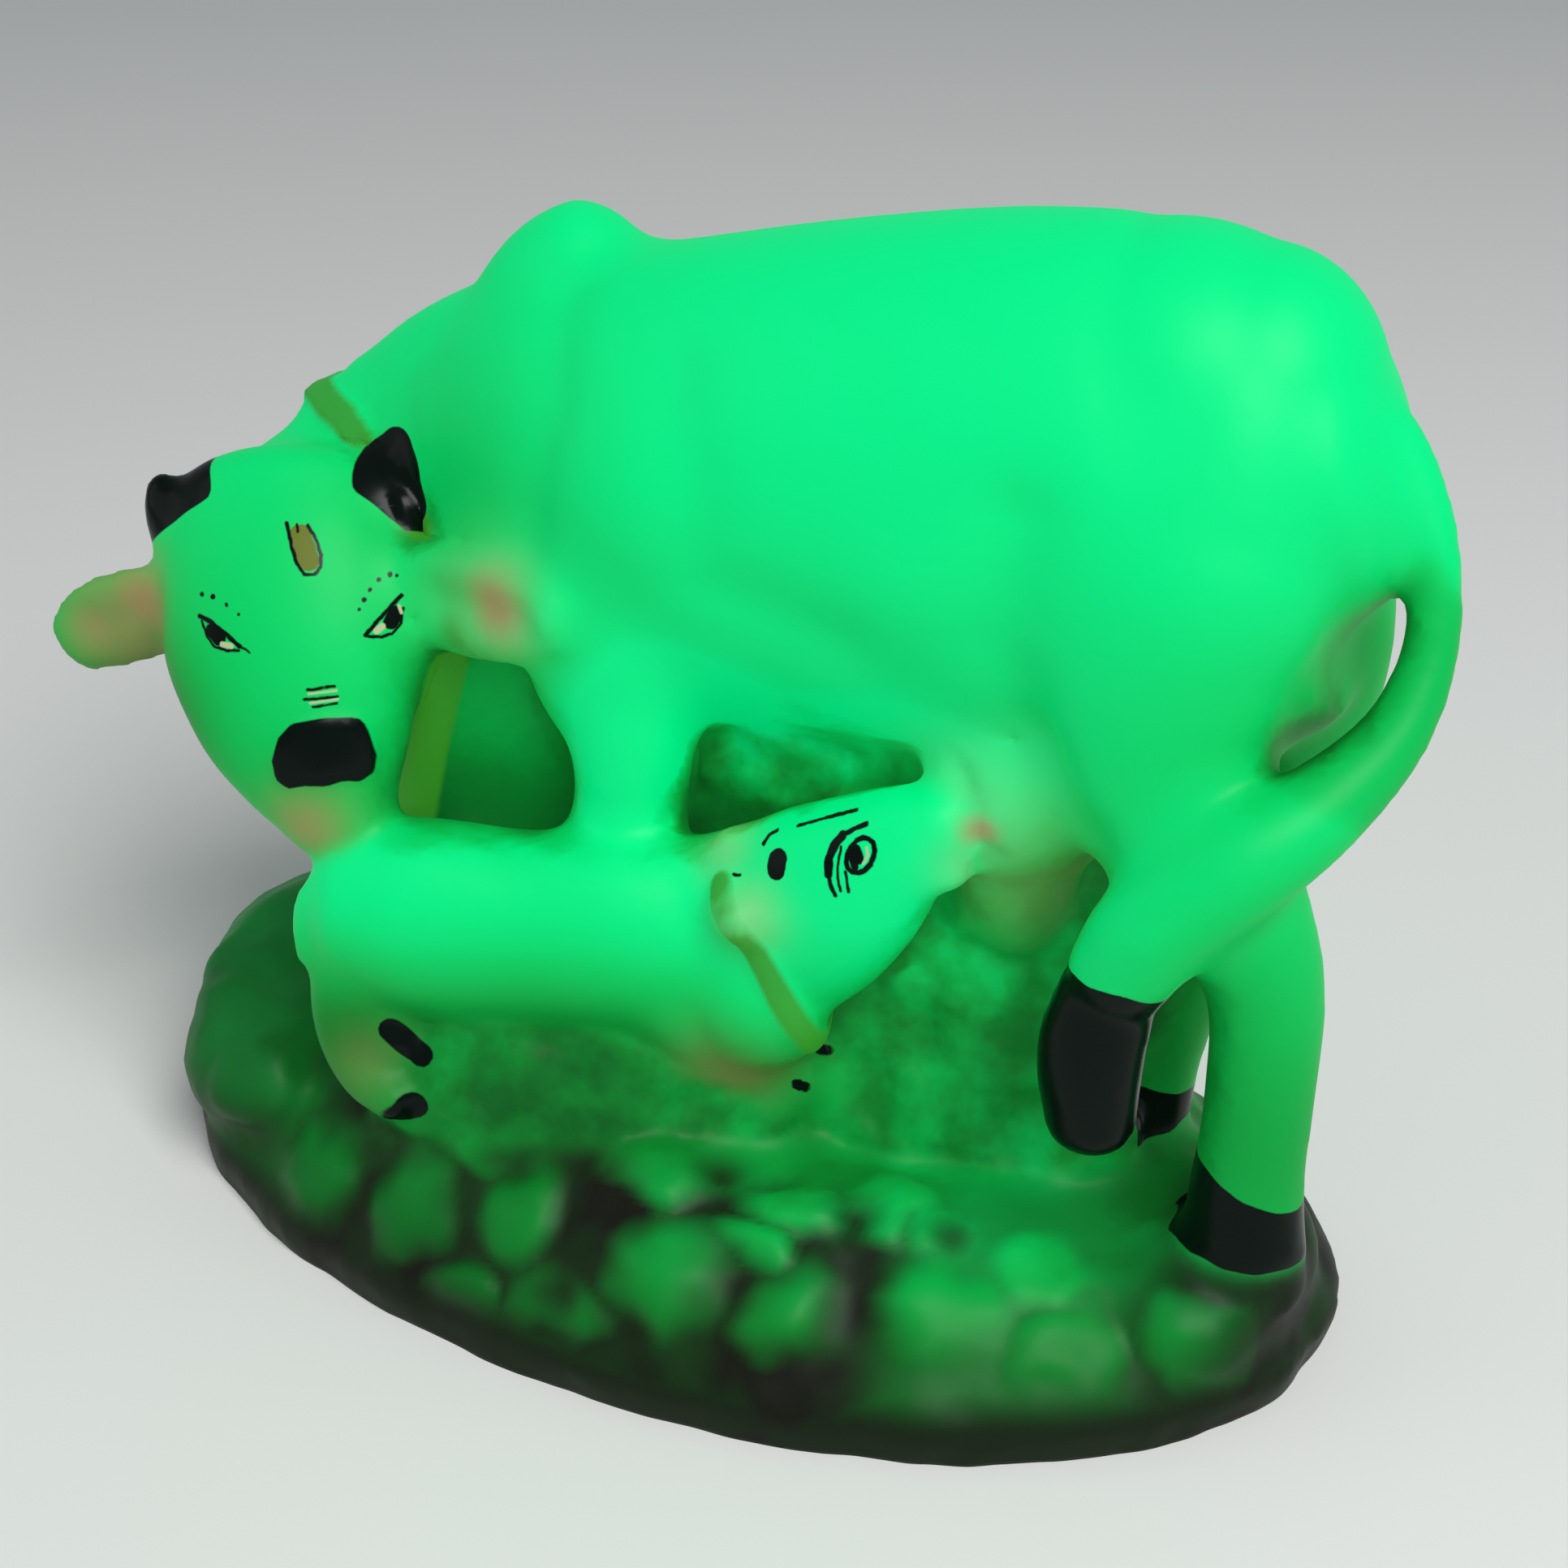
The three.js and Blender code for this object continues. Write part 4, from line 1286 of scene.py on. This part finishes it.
class FIGURINE_OT_stage(bpy.types.Operator):
    """Sets the pale floor, the soft studio light and the camera"""

    bl_idname = "figurine.stage"
    bl_label = "Set the stage"

    def execute(self, context):
        shape = bmesh.new()
        # Matt paper, so pale that the outline of the casting stands out against it
        bmesh.ops.create_grid(shape, x_segments=1, y_segments=1, size=3)
        mesh = bpy.data.meshes.new("floor")
        shape.to_mesh(mesh)
        shape.free()
        paper = bpy.data.materials.new("pale_paper")
        paper.use_nodes = True
        shader = paper.node_tree.nodes["Principled BSDF"]
        shader.inputs["Base Color"].default_value = (*linear("#D8D9D6"), 1)
        shader.inputs["Roughness"].default_value = 0.9
        mesh.materials.append(paper)
        link("floor", mesh)
        world = bpy.data.worlds.new("studio")
        world.use_nodes = True
        sky = world.node_tree.nodes["Background"].inputs
        sky["Color"].default_value = (0.9, 0.95, 1, 1)
        sky["Strength"].default_value = 0.3
        context.scene.world = world
        for lamp in LAMPS:
            add_lamp(*lamp)
        context.scene.view_settings.view_transform = "Standard"
        add_camera()
        return {"FINISHED"}


class FIGURINE_PT_panel(bpy.types.Panel):
    """Lists the figurine's sizes, its paint and the steps"""

    bl_idname = "FIGURINE_PT_panel"
    bl_label = "Cow and calf figurine"
    bl_space_type = "VIEW_3D"
    bl_region_type = "UI"
    bl_category = "Figurine"

    def draw(self, context):
        for name in FigurineSettings.__annotations__:
            self.layout.prop(context.scene.figurine_settings, name)
        self.layout.operator(FIGURINE_OT_casting.bl_idname)
        self.layout.operator(FIGURINE_OT_painting.bl_idname)
        self.layout.operator(FIGURINE_OT_stage.bl_idname)


CLASSES = (
    FigurineSettings,
    FIGURINE_OT_casting,
    FIGURINE_OT_painting,
    FIGURINE_OT_stage,
    FIGURINE_PT_panel,
)


def register():
    for kind in CLASSES:
        bpy.utils.register_class(kind)
    bpy.types.Scene.figurine_settings = bpy.props.PointerProperty(type=FigurineSettings)


def unregister():
    del bpy.types.Scene.figurine_settings
    for kind in reversed(CLASSES):
        bpy.utils.unregister_class(kind)


def main():
    register()
    bpy.ops.figurine.casting()
    bpy.ops.figurine.painting()
    bpy.ops.figurine.stage()


if __name__ == "__main__":
    main()
